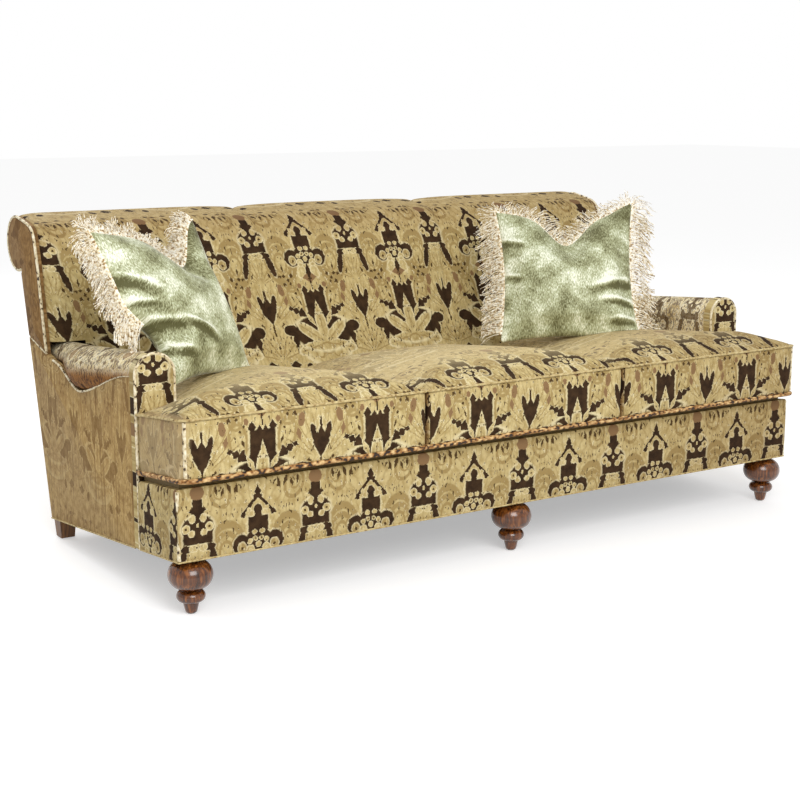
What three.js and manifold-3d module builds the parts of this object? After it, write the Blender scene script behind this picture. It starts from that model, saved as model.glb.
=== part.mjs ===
// A three-seat upholstered sofa: low rolled arms, a scrolled tight back in three panels, three loose seat
// cushions (the outer two wrap in front of the arms) and two fringed scatter pillows, on turned front feet.
// Millimetres, +Z up. The front faces -Y, and x = 0 is the middle. While the parts are made, y = 0 is the
// face of the front border and z = 0 is the floor.
import * as THREE from "three";
import { mergeVertices } from "three/addons/utils/BufferGeometryUtils.js";
import Module from "manifold-3d";

const wasm = await Module();
wasm.setup();

// Whole body
const bodyWidth = 2166; // over the outside arms
const bodyDepth = 912; // border face to the foot of the outside back
const frontClearance = 152; // floor to the bottom of the front border
const rearClearance = 58; // floor to the body's rear bottom edge
const borderHeight = 191;
const gap = 0.4; // between neighbouring pieces
const panelThickness = 17; // cloth, wadding and backing of a flat upholstered panel
const boardThickness = 28; // frame timber

// Seat
const cushionFrontOverhang = 38; // how far the cushions stand in front of the border
const cushionCorner = 45; // radius of the ears' outer corners in plan
const cushionSeam = 18; // the dark seam between the border's top and the cushions
const cushionThickness = 160; // welt to welt
const cushionCrown = 72;
const crownReach = 300; // from a cushion's edge to where the crown is full
const cushionEdgeTuck = 7; // a side's middle pulls in this far between its corners
const boxingBulge = 5; // the boxing's middle stands out from its welts
const cushionRearLean = 30; // the rear edge's top leans back with the inside back
const cushionClearance = 3; // to the arms and to each other
const cushionBackClearance = 6; // to the foot of the inside back
const seamOffset = 350; // middle of the sofa to the gaps between the cushions
const deckDrop = 90; // how far the deck falls from front to rear
const deckRun = 800;
const deckThickness = 22;
const deckFront = 22;
const deckTuck = 11; // how far the deck runs in under the inside back

// Arms
const armFrontFace = 240;
const armFrontThickness = 34; // the padded front panel
const armFrontHeight = 652; // top of the arm at its front
const armRearDrop = 56; // how much lower the top is at the rear
const armRun = 640; // length over which it drops
const armWidth = 116;
const armFrontRadius = 58;
const armFullRadius = 66; // the roll swells outwards behind the front panel
const armRearRadius = 46; // thin enough to run in behind the outside arm
const armPadThickness = 33; // inside arm, from the cushion side to the arm's timber

// Back
const outsideBackHeight = 727;
const outsideBackLean = 170; // how far its top stands behind its foot
const postDepth = 50;
const rollRadius = 90;
const rollSetBack = 25; // the roll's centre stands behind the top of the outside back
const rollCentreHeight = 872;
const footPadding = { thickness: 88, z: 284 }; // the padding in front of the back posts, from its foot up
const lumbarPadding = { thickness: 96, z: 590 };
const middlePadding = { thickness: 106, z: 720 };
const neckPadding = { thickness: 116, z: 850 };
const shoulderPadding = { thickness: 90, z: 930 };
const backEndRound = 70; // the padding rounds off over this width at each end
const frontEndShare = 0.3; // how much of the padding's thickness the end loses in front
const rollEndShare = 0.1; // and how much of its radius the roll loses there
const seamShare = 0.09; // how deep the seams between the back's panels pull in

// Feet and legs
const footSideInset = 53; // side of the body to an outer foot's axis
const footInset = 46; // border face to the feet's axes
const bunRadius = 59;
const bunHeight = 72;
const neckRadius = 26;
const ringRadius = 38;
const ringHeight = 32;
const stemRadius = 21;
const toeRadius = 14;
const shoulderRadius = 32;
const beadHeight = 5;
const boltRadius = 4.6;
const boltLength = 94;
const boreDepth = 50;
const rearLegTop = 50;
const rearLegToe = 42;
const glideRadius = 9;
const glideThickness = 2.6;

// Springs
const wireRadius = 2;
const springCount = 8;
const springInset = 183; // inside of the arm to the middle of the outermost springs
const springSwing = 24; // half the width of a zigzag
const springBend = 60; // length of one half wave
const tieShares = [0.33, 0.67]; // where the cross wires lie along the springs

// Scatter pillows
const pillowSize = 462;
const pillowThickness = 165;
const pillowDrawIn = 0.1; // share by which a side's middle pulls in
const pillowDip = 70; // depth of the crease pressed into the top edge
const armPress = 92; // how far the arm pushes in the lower left corner of the left pillow
const fringeLength = 80;
const fringeThickness = 8;
const pillowSettle = 9; // how far its underside is pressed flat by the seat
const pillowSteps = 12; // divisions of a side
const leftPillowInset = 106; // inside of the arm to the middle of the left pillow
const leftPillowDepth = 468; // border face to its middle
const rightPillowInset = 414;
const rightPillowDepth = 487;

const halfWidth = bodyWidth / 2;
const timberOutside = halfWidth - panelThickness - gap;
const timberInside = timberOutside - boardThickness;
const armInside = halfWidth - armWidth;
const armTimberInside = armInside + armPadThickness + gap;
const springSpacing = (2 * (armInside - springInset)) / (springCount - 1);
const borderTop = frontClearance + borderHeight;
const borderRear = armFrontFace - gap;
const railFront = panelThickness + gap;
const railThickness = 22;
const railRear = railFront + railThickness;
const sideSlope = (frontClearance - rearClearance) / bodyDepth;
const deckSlope = deckDrop / deckRun;
const backSlope = outsideBackLean / outsideBackHeight;
const outsideBackTop = rearClearance + outsideBackHeight;
const footSpacing = halfWidth - footSideInset;

const bottomEdge = (y) => frontClearance - sideSlope * y;
const borderTopAt = (y) => borderTop - deckSlope * y;
const seatPlane = (y) => borderTopAt(y) + cushionSeam;
const deckTop = (y) => seatPlane(y) - gap;
const deckBottom = (y) => deckTop(y) - deckThickness;
const railTop = (y) => deckBottom(y) - 2 * wireRadius - 2 * gap;
const outsideBack = (z) => bodyDepth + backSlope * (z - rearClearance);
const postRear = (z) => outsideBack(z) - panelThickness - gap;
const postFront = (z) => postRear(z) - postDepth;
const padRear = (z) => postFront(z) - gap;
const padFace = ({ thickness, z }) => new THREE.Vector2(padRear(z) - thickness, z);
const backPadFoot = padFace(footPadding);
const cushionRear = backPadFoot.x - cushionBackClearance;
const deckRear = backPadFoot.x + deckTuck;
const rollCentreDepth = outsideBack(outsideBackTop) + rollSetBack;
const armTop = (y) => armFrontHeight - (armRearDrop / armRun) * (y - armFrontFace);

const finish = (color, roughness, metalness = 0) =>
  new THREE.MeshStandardMaterial({ color, roughness, metalness });
const damask = finish("#a58d5c", 0.7);
const velvet = finish("#a9b79a", 0.55);
const fringeYarn = finish("#dcc79d", 0.8);
const turnedWood = finish("#6b3512", 0.3);
const frameTimber = finish("#b58b5d", 0.75);
const springSteel = finish("#8d9093", 0.4, 1);
const deckCloth = finish("#8b764f", 0.85);
const dustCloth = finish("#23211f", 0.95);
const glideSteel = finish("#77746f", 0.45, 1);

// A mesh from triangles, turned so that its faces point out.
function closedForm(points, triangles) {
  const ends = new THREE.Vector3();
  let volume = 0;
  for (const [a, b, c] of triangles) {
    volume += points[a].dot(ends.crossVectors(points[b], points[c]));
  }
  const order = volume < 0 ? [0, 2, 1] : [0, 1, 2];
  const geometry = new THREE.BufferGeometry().setFromPoints(points);
  geometry.setIndex(triangles.flatMap((t) => order.map((k) => t[k])));
  return geometry;
}

// Skins a row of closed sections that have as many points each, and caps both ends.
function loft(sections, capPlane) {
  const count = sections[0].length;
  const triangles = [];
  for (let s = 0; s + 1 < sections.length; s++) {
    for (let i = 0; i < count; i++) {
      const a = s * count + i;
      const b = s * count + ((i + 1) % count);
      triangles.push([a, b, b + count], [a, b + count, a + count]);
    }
  }
  const last = (sections.length - 1) * count;
  const flat = sections.map((points) => points.map(capPlane));
  const capOf = (outline) => THREE.ShapeUtils.triangulateShape(outline, []);
  const turned = THREE.ShapeUtils.area(flat[0]) > 0;
  for (const [a, b, c] of capOf(flat[0])) triangles.push(turned ? [a, c, b] : [a, b, c]);
  for (const [a, b, c] of capOf(flat[sections.length - 1])) {
    triangles.push(turned ? [a, b, c].map((k) => k + last) : [a, c, b].map((k) => k + last));
  }
  return closedForm(sections.flat(), triangles);
}

// An outline in side view, [y, z], carried across the sofa from one x to another.
function across(outline, xFrom, xTo) {
  const shape = new THREE.Shape(outline.map(([y, z]) => new THREE.Vector2(y, z)));
  const geometry = new THREE.ExtrudeGeometry(shape, { depth: xTo - xFrom, bevelEnabled: false });
  const turn = new THREE.Matrix4().makeBasis(
    new THREE.Vector3(0, 1, 0),
    new THREE.Vector3(0, 0, 1),
    new THREE.Vector3(1, 0, 0),
  );
  return geometry.applyMatrix4(turn).translate(xFrom, 0, 0);
}

// An outline in plan, [x, y], between two heights that may follow y.
function upright(outline, bottomAt, topAt, hole) {
  const shape = new THREE.Shape(outline.map(([x, y]) => new THREE.Vector2(x, y)));
  if (hole) shape.holes.push(hole);
  const geometry = new THREE.ExtrudeGeometry(shape, { depth: 1, bevelEnabled: false });
  const place = geometry.getAttribute("position");
  for (let i = 0; i < place.count; i++) {
    const y = place.getY(i);
    place.setZ(i, place.getZ(i) > 0 ? topAt(y) : bottomAt(y));
  }
  return geometry;
}

// Evenly spaced values from one up to, but without, another.
const steps = (from, to, count) => Array.from({ length: count }, (_, k) => from + ((to - from) * k) / count);

const rectangle = (x0, y0, x1, y1) => [
  [x0, y0],
  [x1, y0],
  [x1, y1],
  [x0, y1],
];

function solidOf(geometry, mirrored = false) {
  const bare = geometry.index ? geometry.clone() : geometry;
  bare.deleteAttribute("normal");
  bare.deleteAttribute("uv");
  const merged = mergeVertices(bare);
  const triVerts = new Uint32Array(merged.index.array);
  if (mirrored) triVerts.reverse();
  const vertProperties = merged.getAttribute("position").array;
  return new wasm.Manifold(new wasm.Mesh({ numProp: 3, vertProperties, triVerts }));
}

// A mesh's solid where it stands, or a little higher.
function solidInPlace(mesh, rise = 0) {
  const placed = mesh.geometry.clone().applyMatrix4(mesh.matrixWorld).translate(0, 0, rise);
  return solidOf(placed, mesh.matrixWorld.determinant() < 0);
}

function geometryOf(solid) {
  const mesh = solid.getMesh();
  const places = [];
  for (let i = 0; i < mesh.numVert; i++) {
    places.push(...mesh.vertProperties.subarray(i * mesh.numProp, i * mesh.numProp + 3));
  }
  const geometry = new THREE.BufferGeometry();
  geometry.setAttribute("position", new THREE.Float32BufferAttribute(places, 3));
  return geometry.setIndex(Array.from(mesh.triVerts));
}

const sofa = new THREE.Group();

function add(name, geometry, material) {
  const mesh = new THREE.Mesh(geometry, material);
  mesh.name = name;
  sofa.add(mesh);
  return mesh;
}

// The same piece on both sides, drawn for the right (+x) and mirrored for the left.
function addPair(name, geometry, material) {
  add(name + "_right", geometry, material);
  add(name + "_left", geometry, material).scale.x = -1;
}

// Timber frame: rails, cross stretchers, posts and arm boards.
function addFrame() {
  const between = timberInside - gap;
  const railBottom = frontClearance;
  const frontRail = rectangle(railFront, railBottom, railRear, railTop(railRear));
  add("front_rail", across(frontRail, -timberOutside, timberOutside), frameTimber);
  const backRailFront = deckRear + gap;
  const backRailRear = backRailFront + boardThickness;
  const backRail = rectangle(backRailFront, rearClearance, backRailRear, railTop(backRailRear));
  add("back_rail", across(backRail, -between, between), frameTimber);

  const sideFront = railRear + gap;
  const sideRear = postFront(rearClearance) - gap;
  const sideRail = [
    [sideFront, bottomEdge(sideFront)],
    [sideRear, bottomEdge(sideRear)],
    [sideRear, railTop(sideRear)],
    [sideFront, railTop(sideFront)],
  ];
  addPair("side_rail", across(sideRail, timberInside, timberOutside), frameTimber);

  const stretcherDip = 30;
  const stretcherLift = 10;
  const stretcherRear = backRailFront - gap;
  const stretcher = [
    [sideFront, bottomEdge(sideFront) + stretcherLift],
    [stretcherRear, bottomEdge(stretcherRear) + stretcherLift],
    [stretcherRear, railTop(stretcherRear) - stretcherDip],
    [sideFront, railTop(sideFront) - stretcherDip],
  ];
  const stretcherEdge = seamOffset - boardThickness / 2;
  addPair("seat_stretcher", across(stretcher, stretcherEdge, seamOffset + boardThickness / 2), frameTimber);

  const postTop = outsideBackTop - gap;
  const band = (zLow, zHigh, front, rear) => [
    [front(zLow), zLow],
    [rear(zLow), zLow],
    [rear(zHigh), zHigh],
    [front(zHigh), zHigh],
  ];
  const post = band(rearClearance, postTop, postFront, postRear);
  addPair("back_post", across(post, timberInside, timberOutside), frameTimber);
  const topRailHeight = 65;
  const topRail = band(postTop - topRailHeight, postTop, postFront, postRear);
  add("back_top_rail", across(topRail, -between, between), frameTimber);
  const tuckRailBottom = 400;
  const tuckRailHeight = 60;
  const tuckRear = (z) => postFront(z) + boardThickness;
  const tuckRail = band(tuckRailBottom, tuckRailBottom + tuckRailHeight, postFront, tuckRear);
  add("back_tuck_rail", across(tuckRail, -between, between), frameTimber);
}

// Seat support: zigzag springs tied by cross wires, the cloth deck over them and the dust cover below.
function addSeatSupport() {
  const springRear = deckRear + boardThickness;
  const springHeight = (y) => deckBottom(y) - gap - wireRadius;
  const section = new THREE.Shape([
    new THREE.Vector2(wireRadius, 0),
    new THREE.Vector2(0, wireRadius),
    new THREE.Vector2(-wireRadius, 0),
    new THREE.Vector2(0, -wireRadius),
  ]);
  const springFront = railFront + 2 * wireRadius;
  const run = springRear - springFront;
  const bends = Math.round(run / springBend);
  const firstSpring = (-(springCount - 1) / 2) * springSpacing;
  let net = null;
  const join = (geometry) => {
    net = net ? net.add(solidOf(geometry)) : solidOf(geometry);
  };
  for (let s = 0; s < springCount; s++) {
    const x = firstSpring + s * springSpacing;
    const route = [];
    for (let b = 0; b <= bends; b++) {
      const y = springFront + (run * b) / bends;
      const swing = b === 0 || b === bends ? 0 : springSwing * (b % 2 ? 1 : -1);
      route.push(new THREE.Vector3(x + swing, y, springHeight(y)));
    }
    const path = new THREE.CatmullRomCurve3(route);
    join(new THREE.ExtrudeGeometry(section, { steps: 2 * bends, extrudePath: path, bevelEnabled: false }));
  }
  for (const share of tieShares) {
    const y = springFront + run * share;
    const reach = -firstSpring + springSwing;
    const z = springHeight(y);
    join(
      across(
        [
          [y - wireRadius, z],
          [y, z - wireRadius],
          [y + wireRadius, z],
          [y, z + wireRadius / 2],
        ],
        -reach,
        reach,
      ),
    );
  }
  add("seat_springs", geometryOf(net), springSteel);

  const earRear = armFrontFace - gap;
  const deckSide = armInside - gap;
  const plan = [
    [-timberOutside, deckFront],
    [timberOutside, deckFront],
    [timberOutside, earRear],
    [deckSide, earRear],
    [deckSide, deckRear],
    [-deckSide, deckRear],
    [-deckSide, earRear],
    [-timberOutside, earRear],
  ];
  add("seat_deck", upright(plan, deckBottom, deckTop), deckCloth);

  const clothThickness = 2;
  const clothLift = 4;
  const clothSide = timberInside - gap;
  const clothFront = footInset + bunRadius;
  const cloth = rectangle(-clothSide, clothFront, clothSide, deckRear);
  const clothBottom = (y) => bottomEdge(y) + clothLift;
  add("dust_cover", upright(cloth, clothBottom, (y) => clothBottom(y) + clothThickness), dustCloth);
}

// Turned bun feet in front, each screwed into a block behind the front rail, and plain rear legs.
function addFeet() {
  const footBottom = glideThickness + gap;
  const footTop = bottomEdge(footInset + bunRadius) - gap;
  const bunMiddle = footTop - bunHeight / 2;
  const bunBottom = footTop - bunHeight;
  const ringMiddle = bunBottom - beadHeight - ringHeight / 2;
  const ringBottom = bunBottom - beadHeight - ringHeight;
  const boreRadius = boltRadius + gap;
  const boreBottom = footTop - boreDepth;
  const profile = [new THREE.Vector2(0, footBottom), new THREE.Vector2(toeRadius, footBottom)];
  const swell = (innerRadius, outerRadius, middle, height, from, to, steps) => {
    for (let k = 0; k <= steps; k++) {
      const angle = THREE.MathUtils.lerp(from, to, k / steps);
      const r = innerRadius + (outerRadius - innerRadius) * Math.cos(angle);
      profile.push(new THREE.Vector2(r, middle + (height / 2) * Math.sin(angle)));
    }
  };
  const quarter = Math.PI / 2;
  profile.push(new THREE.Vector2(stemRadius, ringBottom - beadHeight / 2));
  swell(stemRadius, ringRadius, ringMiddle, ringHeight, -quarter, quarter, 6);
  profile.push(new THREE.Vector2(neckRadius, ringMiddle + ringHeight / 2 + beadHeight / 2));
  swell(neckRadius, bunRadius, bunMiddle, bunHeight, -quarter, quarter * 0.85, 9);
  profile.push(new THREE.Vector2(shoulderRadius, footTop));
  profile.push(new THREE.Vector2(boreRadius, footTop));
  profile.push(new THREE.Vector2(boreRadius, boreBottom));
  profile.push(new THREE.Vector2(0, boreBottom));
  const turned = new THREE.LatheGeometry(profile, 18).rotateX(quarter);
  const bolt = new THREE.CylinderGeometry(boltRadius, boltRadius, boltLength, 10).rotateX(quarter);
  const glide = new THREE.CylinderGeometry(glideRadius, glideRadius, glideThickness, 14).rotateX(quarter);
  const blockHalf = 45;
  const blockDepth = 60;
  const blockHeight = 56;
  const blockBottom = footTop + gap;
  for (const [side, x] of [
    ["left", -footSpacing],
    ["centre", 0],
    ["right", footSpacing],
  ]) {
    add("foot_front_" + side, turned, turnedWood).position.set(x, footInset, 0);
    const boltMiddle = boreBottom + gap + boltLength / 2;
    add("foot_bolt_" + side, bolt, springSteel).position.set(x, footInset, boltMiddle);
    add("glide_front_" + side, glide, glideSteel).position.set(x, footInset, glideThickness / 2);
    const limit = timberInside - gap;
    const left = Math.max(x - blockHalf, -limit);
    const right = Math.min(x + blockHalf, limit);
    const hole = new THREE.Path().absarc(x, footInset, boreRadius, 0, 2 * Math.PI, true);
    const plan = rectangle(left, railRear + gap, right, railRear + gap + blockDepth);
    const blockTop = () => blockBottom + blockHeight;
    add("foot_block_" + side, upright(plan, () => blockBottom, blockTop, hole), frameTimber);
  }

  const legHeight = rearClearance - gap - footBottom;
  const corner = Math.SQRT1_2;
  const leg = new THREE.CylinderGeometry(rearLegTop * corner, rearLegToe * corner, legHeight, 4);
  leg.rotateY(Math.PI / 4).rotateX(quarter);
  const legX = timberOutside + panelThickness / 2 - rearLegTop / 2;
  const cornerY = bodyDepth - rearLegTop / 2;
  const centreY = deckRear + gap + boardThickness / 2;
  for (const [side, x, y] of [
    ["left", -legX, cornerY],
    ["centre", 0, centreY],
    ["right", legX, cornerY],
  ]) {
    add("rear_leg_" + side, leg, turnedWood).position.set(x, y, footBottom + legHeight / 2);
    add("glide_rear_" + side, glide, glideSteel).position.set(x, y, glideThickness / 2);
  }
}

// The padded band under the cushions: across the front and back along both sides to the arms.
function addFrontBorder() {
  const inner = halfWidth - panelThickness;
  const plan = [
    [-halfWidth, 0],
    [halfWidth, 0],
    [halfWidth, borderRear],
    [inner, borderRear],
    [inner, panelThickness],
    [-inner, panelThickness],
    [-inner, borderRear],
    [-halfWidth, borderRear],
  ];
  add("front_border", upright(plan, bottomEdge, borderTopAt), damask);
}

// The roll at a share of the arm's length. It swells and turns under behind the front, and both ease off into
// the back.
const swellShare = 0.55;
const thinShare = 0.85;
const fullUnder = Math.sin(Math.PI / 3); // how far the swollen roll turns under, as a share of its radius
function armRoll(share) {
  const swelling = THREE.MathUtils.smoothstep(share, 0, swellShare);
  const thinning = THREE.MathUtils.smoothstep(share, swellShare, thinShare);
  const front = THREE.MathUtils.lerp(armFrontRadius, armFullRadius, swelling);
  const radius = THREE.MathUtils.lerp(front, armRearRadius, thinning);
  return { radius, underAngle: Math.asin(fullUnder * (swelling - thinning)) };
}

const armStart = armFrontFace + armFrontThickness + 2 * gap;
const armStations = 12;

// Cross-sections of the arm from front to rear. Each leans with the back post that it ends against.
function armSections() {
  const armRear = (z) => postFront(z) - gap;
  const sections = [];
  for (let s = 0; s <= armStations; s++) {
    const share = s / armStations;
    const { radius, underAngle } = armRoll(share);
    const depthAt = (z) => armStart + share * (armRear(z) - armStart);
    const middle = armTop(depthAt(armFrontHeight)) - radius;
    const under = middle - radius * Math.sin(underAngle);
    sections.push({ radius, underAngle, depthAt, middle, under });
  }
  return sections;
}

function addArms(sections) {
  const padBottom = (y) => railTop(y) + gap;
  const inner = armInside + armPadThickness;
  const arcSteps = 11;
  const rings = sections.map(({ radius, underAngle, depthAt, middle, under }) => {
    const place = (x, z) => new THREE.Vector3(x, depthAt(z), z);
    let foot = padBottom(armStart);
    for (let round = 0; round < 4; round++) foot = padBottom(depthAt(foot));
    const ring = [place(armInside, foot)];
    for (let k = 0; k <= arcSteps; k++) {
      const angle = THREE.MathUtils.lerp(Math.PI, -underAngle, k / arcSteps);
      const x = armInside + radius + radius * Math.cos(angle);
      ring.push(place(x, middle + radius * Math.sin(angle)));
    }
    ring.push(place(inner, under - gap), place(inner, foot));
    return ring;
  });
  addPair("arm", loft(rings, (p) => new THREE.Vector2(p.x, p.z)), damask);

  const boardDepth = 26;
  const boardTop = Math.min(...sections.map(({ under }) => under)) - 2 * gap;
  const boardRear = postFront(boardTop - boardDepth) - gap;
  const armBoard = rectangle(armStart, boardTop - boardDepth, boardRear, boardTop);
  addPair("arm_board", across(armBoard, armTimberInside, timberOutside), frameTimber);
  const postLength = 45;
  const postBottom = bottomEdge(armStart) + boardThickness;
  const armPost = rectangle(armStart, postBottom, armStart + postLength, boardTop - boardDepth - gap);
  addPair("arm_post", across(armPost, armTimberInside, timberInside - gap), frameTimber);

  const frontShape = new THREE.Shape();
  const frontBottom = bottomEdge(armFrontFace);
  const frontMiddle = armFrontHeight - armFrontRadius;
  const skinInside = timberOutside + gap;
  const overRail = railTop(armFrontFace) + gap;
  frontShape.moveTo(armInside, overRail);
  frontShape.lineTo(skinInside, overRail);
  frontShape.lineTo(skinInside, frontBottom);
  frontShape.lineTo(halfWidth, frontBottom);
  frontShape.lineTo(halfWidth, frontMiddle);
  frontShape.absarc(armInside + armFrontRadius, frontMiddle, armFrontRadius, 0, Math.PI, false);
  const armFront = new THREE.ExtrudeGeometry(frontShape, {
    depth: armFrontThickness,
    bevelEnabled: false,
    curveSegments: 16,
  });
  armFront.rotateX(Math.PI / 2).translate(0, armFrontFace + armFrontThickness, 0);
  addPair("arm_front", armFront, damask);

  // The outside arm follows the roll's underside until the roll has run in behind it, then climbs to meet the
  // outside back.
  const cornerHeight = 598;
  const panelFront = armFrontFace + armFrontThickness + gap;
  const runsIn = ({ radius }) => armInside + 2 * radius < skinInside - gap;
  const followed = sections.findIndex(runsIn) + 1;
  const edge = sections.slice(0, followed).map(({ depthAt, under }) => [depthAt(under), under - 2 * gap]);
  edge[0][0] = panelFront;
  const outline = [
    [panelFront, bottomEdge(panelFront)],
    [outsideBack(rearClearance), rearClearance],
    [outsideBack(cornerHeight), cornerHeight],
    ...edge.reverse(),
  ];
  addPair("outside_arm", across(outline, skinInside, halfWidth), damask);
  return { rise: edge[0], corner: [outsideBack(cornerHeight), cornerHeight] };
}

// The back's outer line in side view: up the padding's front and round the roll. Each point comes with the
// spine point that it draws in towards, at a seam or at an end.
const paddings = [footPadding, lumbarPadding, middlePadding, neckPadding, shoulderPadding];
const rollStartAngle = THREE.MathUtils.degToRad(105);
const rollEndAngle = THREE.MathUtils.degToRad(-114);
const onRoll = (angle, radius) =>
  new THREE.Vector2(rollCentreDepth + radius * Math.cos(angle), rollCentreHeight + radius * Math.sin(angle));
const frontCurve = new THREE.SplineCurve([...paddings.map(padFace), onRoll(rollStartAngle, rollRadius)]);
const frontSteps = 9;
const rollSteps = 11;

function backLine(drawFront, drawRoll) {
  const line = [];
  for (let k = 0; k < frontSteps; k++) {
    const p = frontCurve.getPoint(k / frontSteps);
    const blend = THREE.MathUtils.smoothstep(k / frontSteps, 0.5, 1);
    const spineY = THREE.MathUtils.lerp(padRear(p.y), rollCentreDepth, blend);
    const spineZ = THREE.MathUtils.lerp(p.y, rollCentreHeight, blend);
    const draw = THREE.MathUtils.lerp(drawFront, drawRoll, blend);
    line.push([p.x + draw * (spineY - p.x), p.y + draw * (spineZ - p.y)]);
  }
  for (let k = 0; k <= rollSteps; k++) {
    const angle = THREE.MathUtils.lerp(rollStartAngle, rollEndAngle, k / rollSteps);
    line.push(onRoll(angle, rollRadius * (1 - drawRoll)).toArray());
  }
  return line;
}

// A panel of the inside back through the stations xs. drawAt(x) says how far its line draws in there.
function backPanel(xs, drawAt) {
  const padTop = outsideBackTop + gap;
  const sections = xs.map((x) => {
    const { front, roll } = drawAt(x);
    const loop = backLine(front, roll);
    loop.push([padRear(padTop), padTop], [padRear(backPadFoot.y), backPadFoot.y]);
    return loop.map(([y, z]) => new THREE.Vector3(x, y, z));
  });
  return loft(sections, (p) => new THREE.Vector2(p.y, p.z));
}

function addBack(armPanel) {
  const seamPower = 5; // the seams pull in sharply, close to their own line
  const seamDraw = (offset) => seamShare * Math.pow(Math.abs(offset), seamPower);
  const inner = seamOffset - gap / 2;
  const middleDraw = (x) => ({ front: seamDraw(x / inner), roll: seamDraw(x / inner) });
  add("inside_back_middle", backPanel([...steps(-inner, inner, 8), inner], middleDraw), damask);

  const outerStart = seamOffset + gap / 2;
  const outerEnd = timberOutside;
  const straightEnd = outerEnd - backEndRound;
  const outerDraw = (x) => {
    const into = Math.max(0, (x - straightEnd) / backEndRound);
    const round = 1 - Math.sqrt(1 - into * into);
    const share = (x - outerStart) / (outerEnd - outerStart);
    const seam = seamDraw(Math.max(0, 1 - 2 * share));
    return { front: seam + frontEndShare * round, roll: seam + rollEndShare * round };
  };
  const roundShares = [0.35, 0.65, 0.88, 1]; // stations on the rounded end, closer where it turns fastest
  const roundedAt = (share) => straightEnd + backEndRound * Math.sin((share * Math.PI) / 2);
  const outerStations = [...steps(outerStart, straightEnd, 6), straightEnd, ...roundShares.map(roundedAt)];
  // The padding is cut away over the arms, whose rear ends run back to the posts.
  const notchHeight = armTop(padFace(lumbarPadding).x) + 2 * gap;
  const overrun = 10;
  const notch = across(
    rectangle(backPadFoot.x - overrun, backPadFoot.y - overrun, padRear(notchHeight) + overrun, notchHeight),
    armInside - gap,
    outerEnd + overrun,
  );
  const outer = solidOf(backPanel(outerStations, outerDraw)).subtract(solidOf(notch));
  addPair("inside_back", geometryOf(outer), damask);

  const panelBottom = rearClearance;
  const panel = [
    [outsideBack(panelBottom) - panelThickness, panelBottom],
    [outsideBack(panelBottom), panelBottom],
    [outsideBack(outsideBackTop), outsideBackTop],
    [outsideBack(outsideBackTop) - panelThickness, outsideBackTop],
  ];
  add("outside_back", across(panel, -timberOutside, timberOutside), damask);

  const [riseY, riseZ] = armPanel.rise;
  const [cornerY, cornerZ] = armPanel.corner;
  const climbAt = (y) => THREE.MathUtils.mapLinear(y, riseY, cornerY, riseZ, cornerZ) + 2 * gap;
  const edge = backLine(frontEndShare, rollEndShare).filter(([y, z]) => z > climbAt(y));
  const footY = edge[0][0];
  const side = [
    ...edge,
    [outsideBack(outsideBackTop), outsideBackTop],
    [cornerY, climbAt(cornerY)],
    [footY, climbAt(footY)],
  ];
  addPair("back_side", across(side, timberOutside + gap, halfWidth), damask);
}

// Draws the square outer front corner of an ear in plan on to a quarter circle.
function roundedCorner(x, y) {
  const centreX = halfWidth - cushionCorner;
  const centreY = cushionCorner - cushionFrontOverhang;
  const across = (x - centreX) / cushionCorner;
  const ahead = (centreY - y) / cushionCorner;
  if (across <= 0 || ahead <= 0) return [x, y];
  return [
    centreX + cushionCorner * across * Math.sqrt(1 - (ahead * ahead) / 2),
    centreY - cushionCorner * ahead * Math.sqrt(1 - (across * across) / 2),
  ];
}

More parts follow.
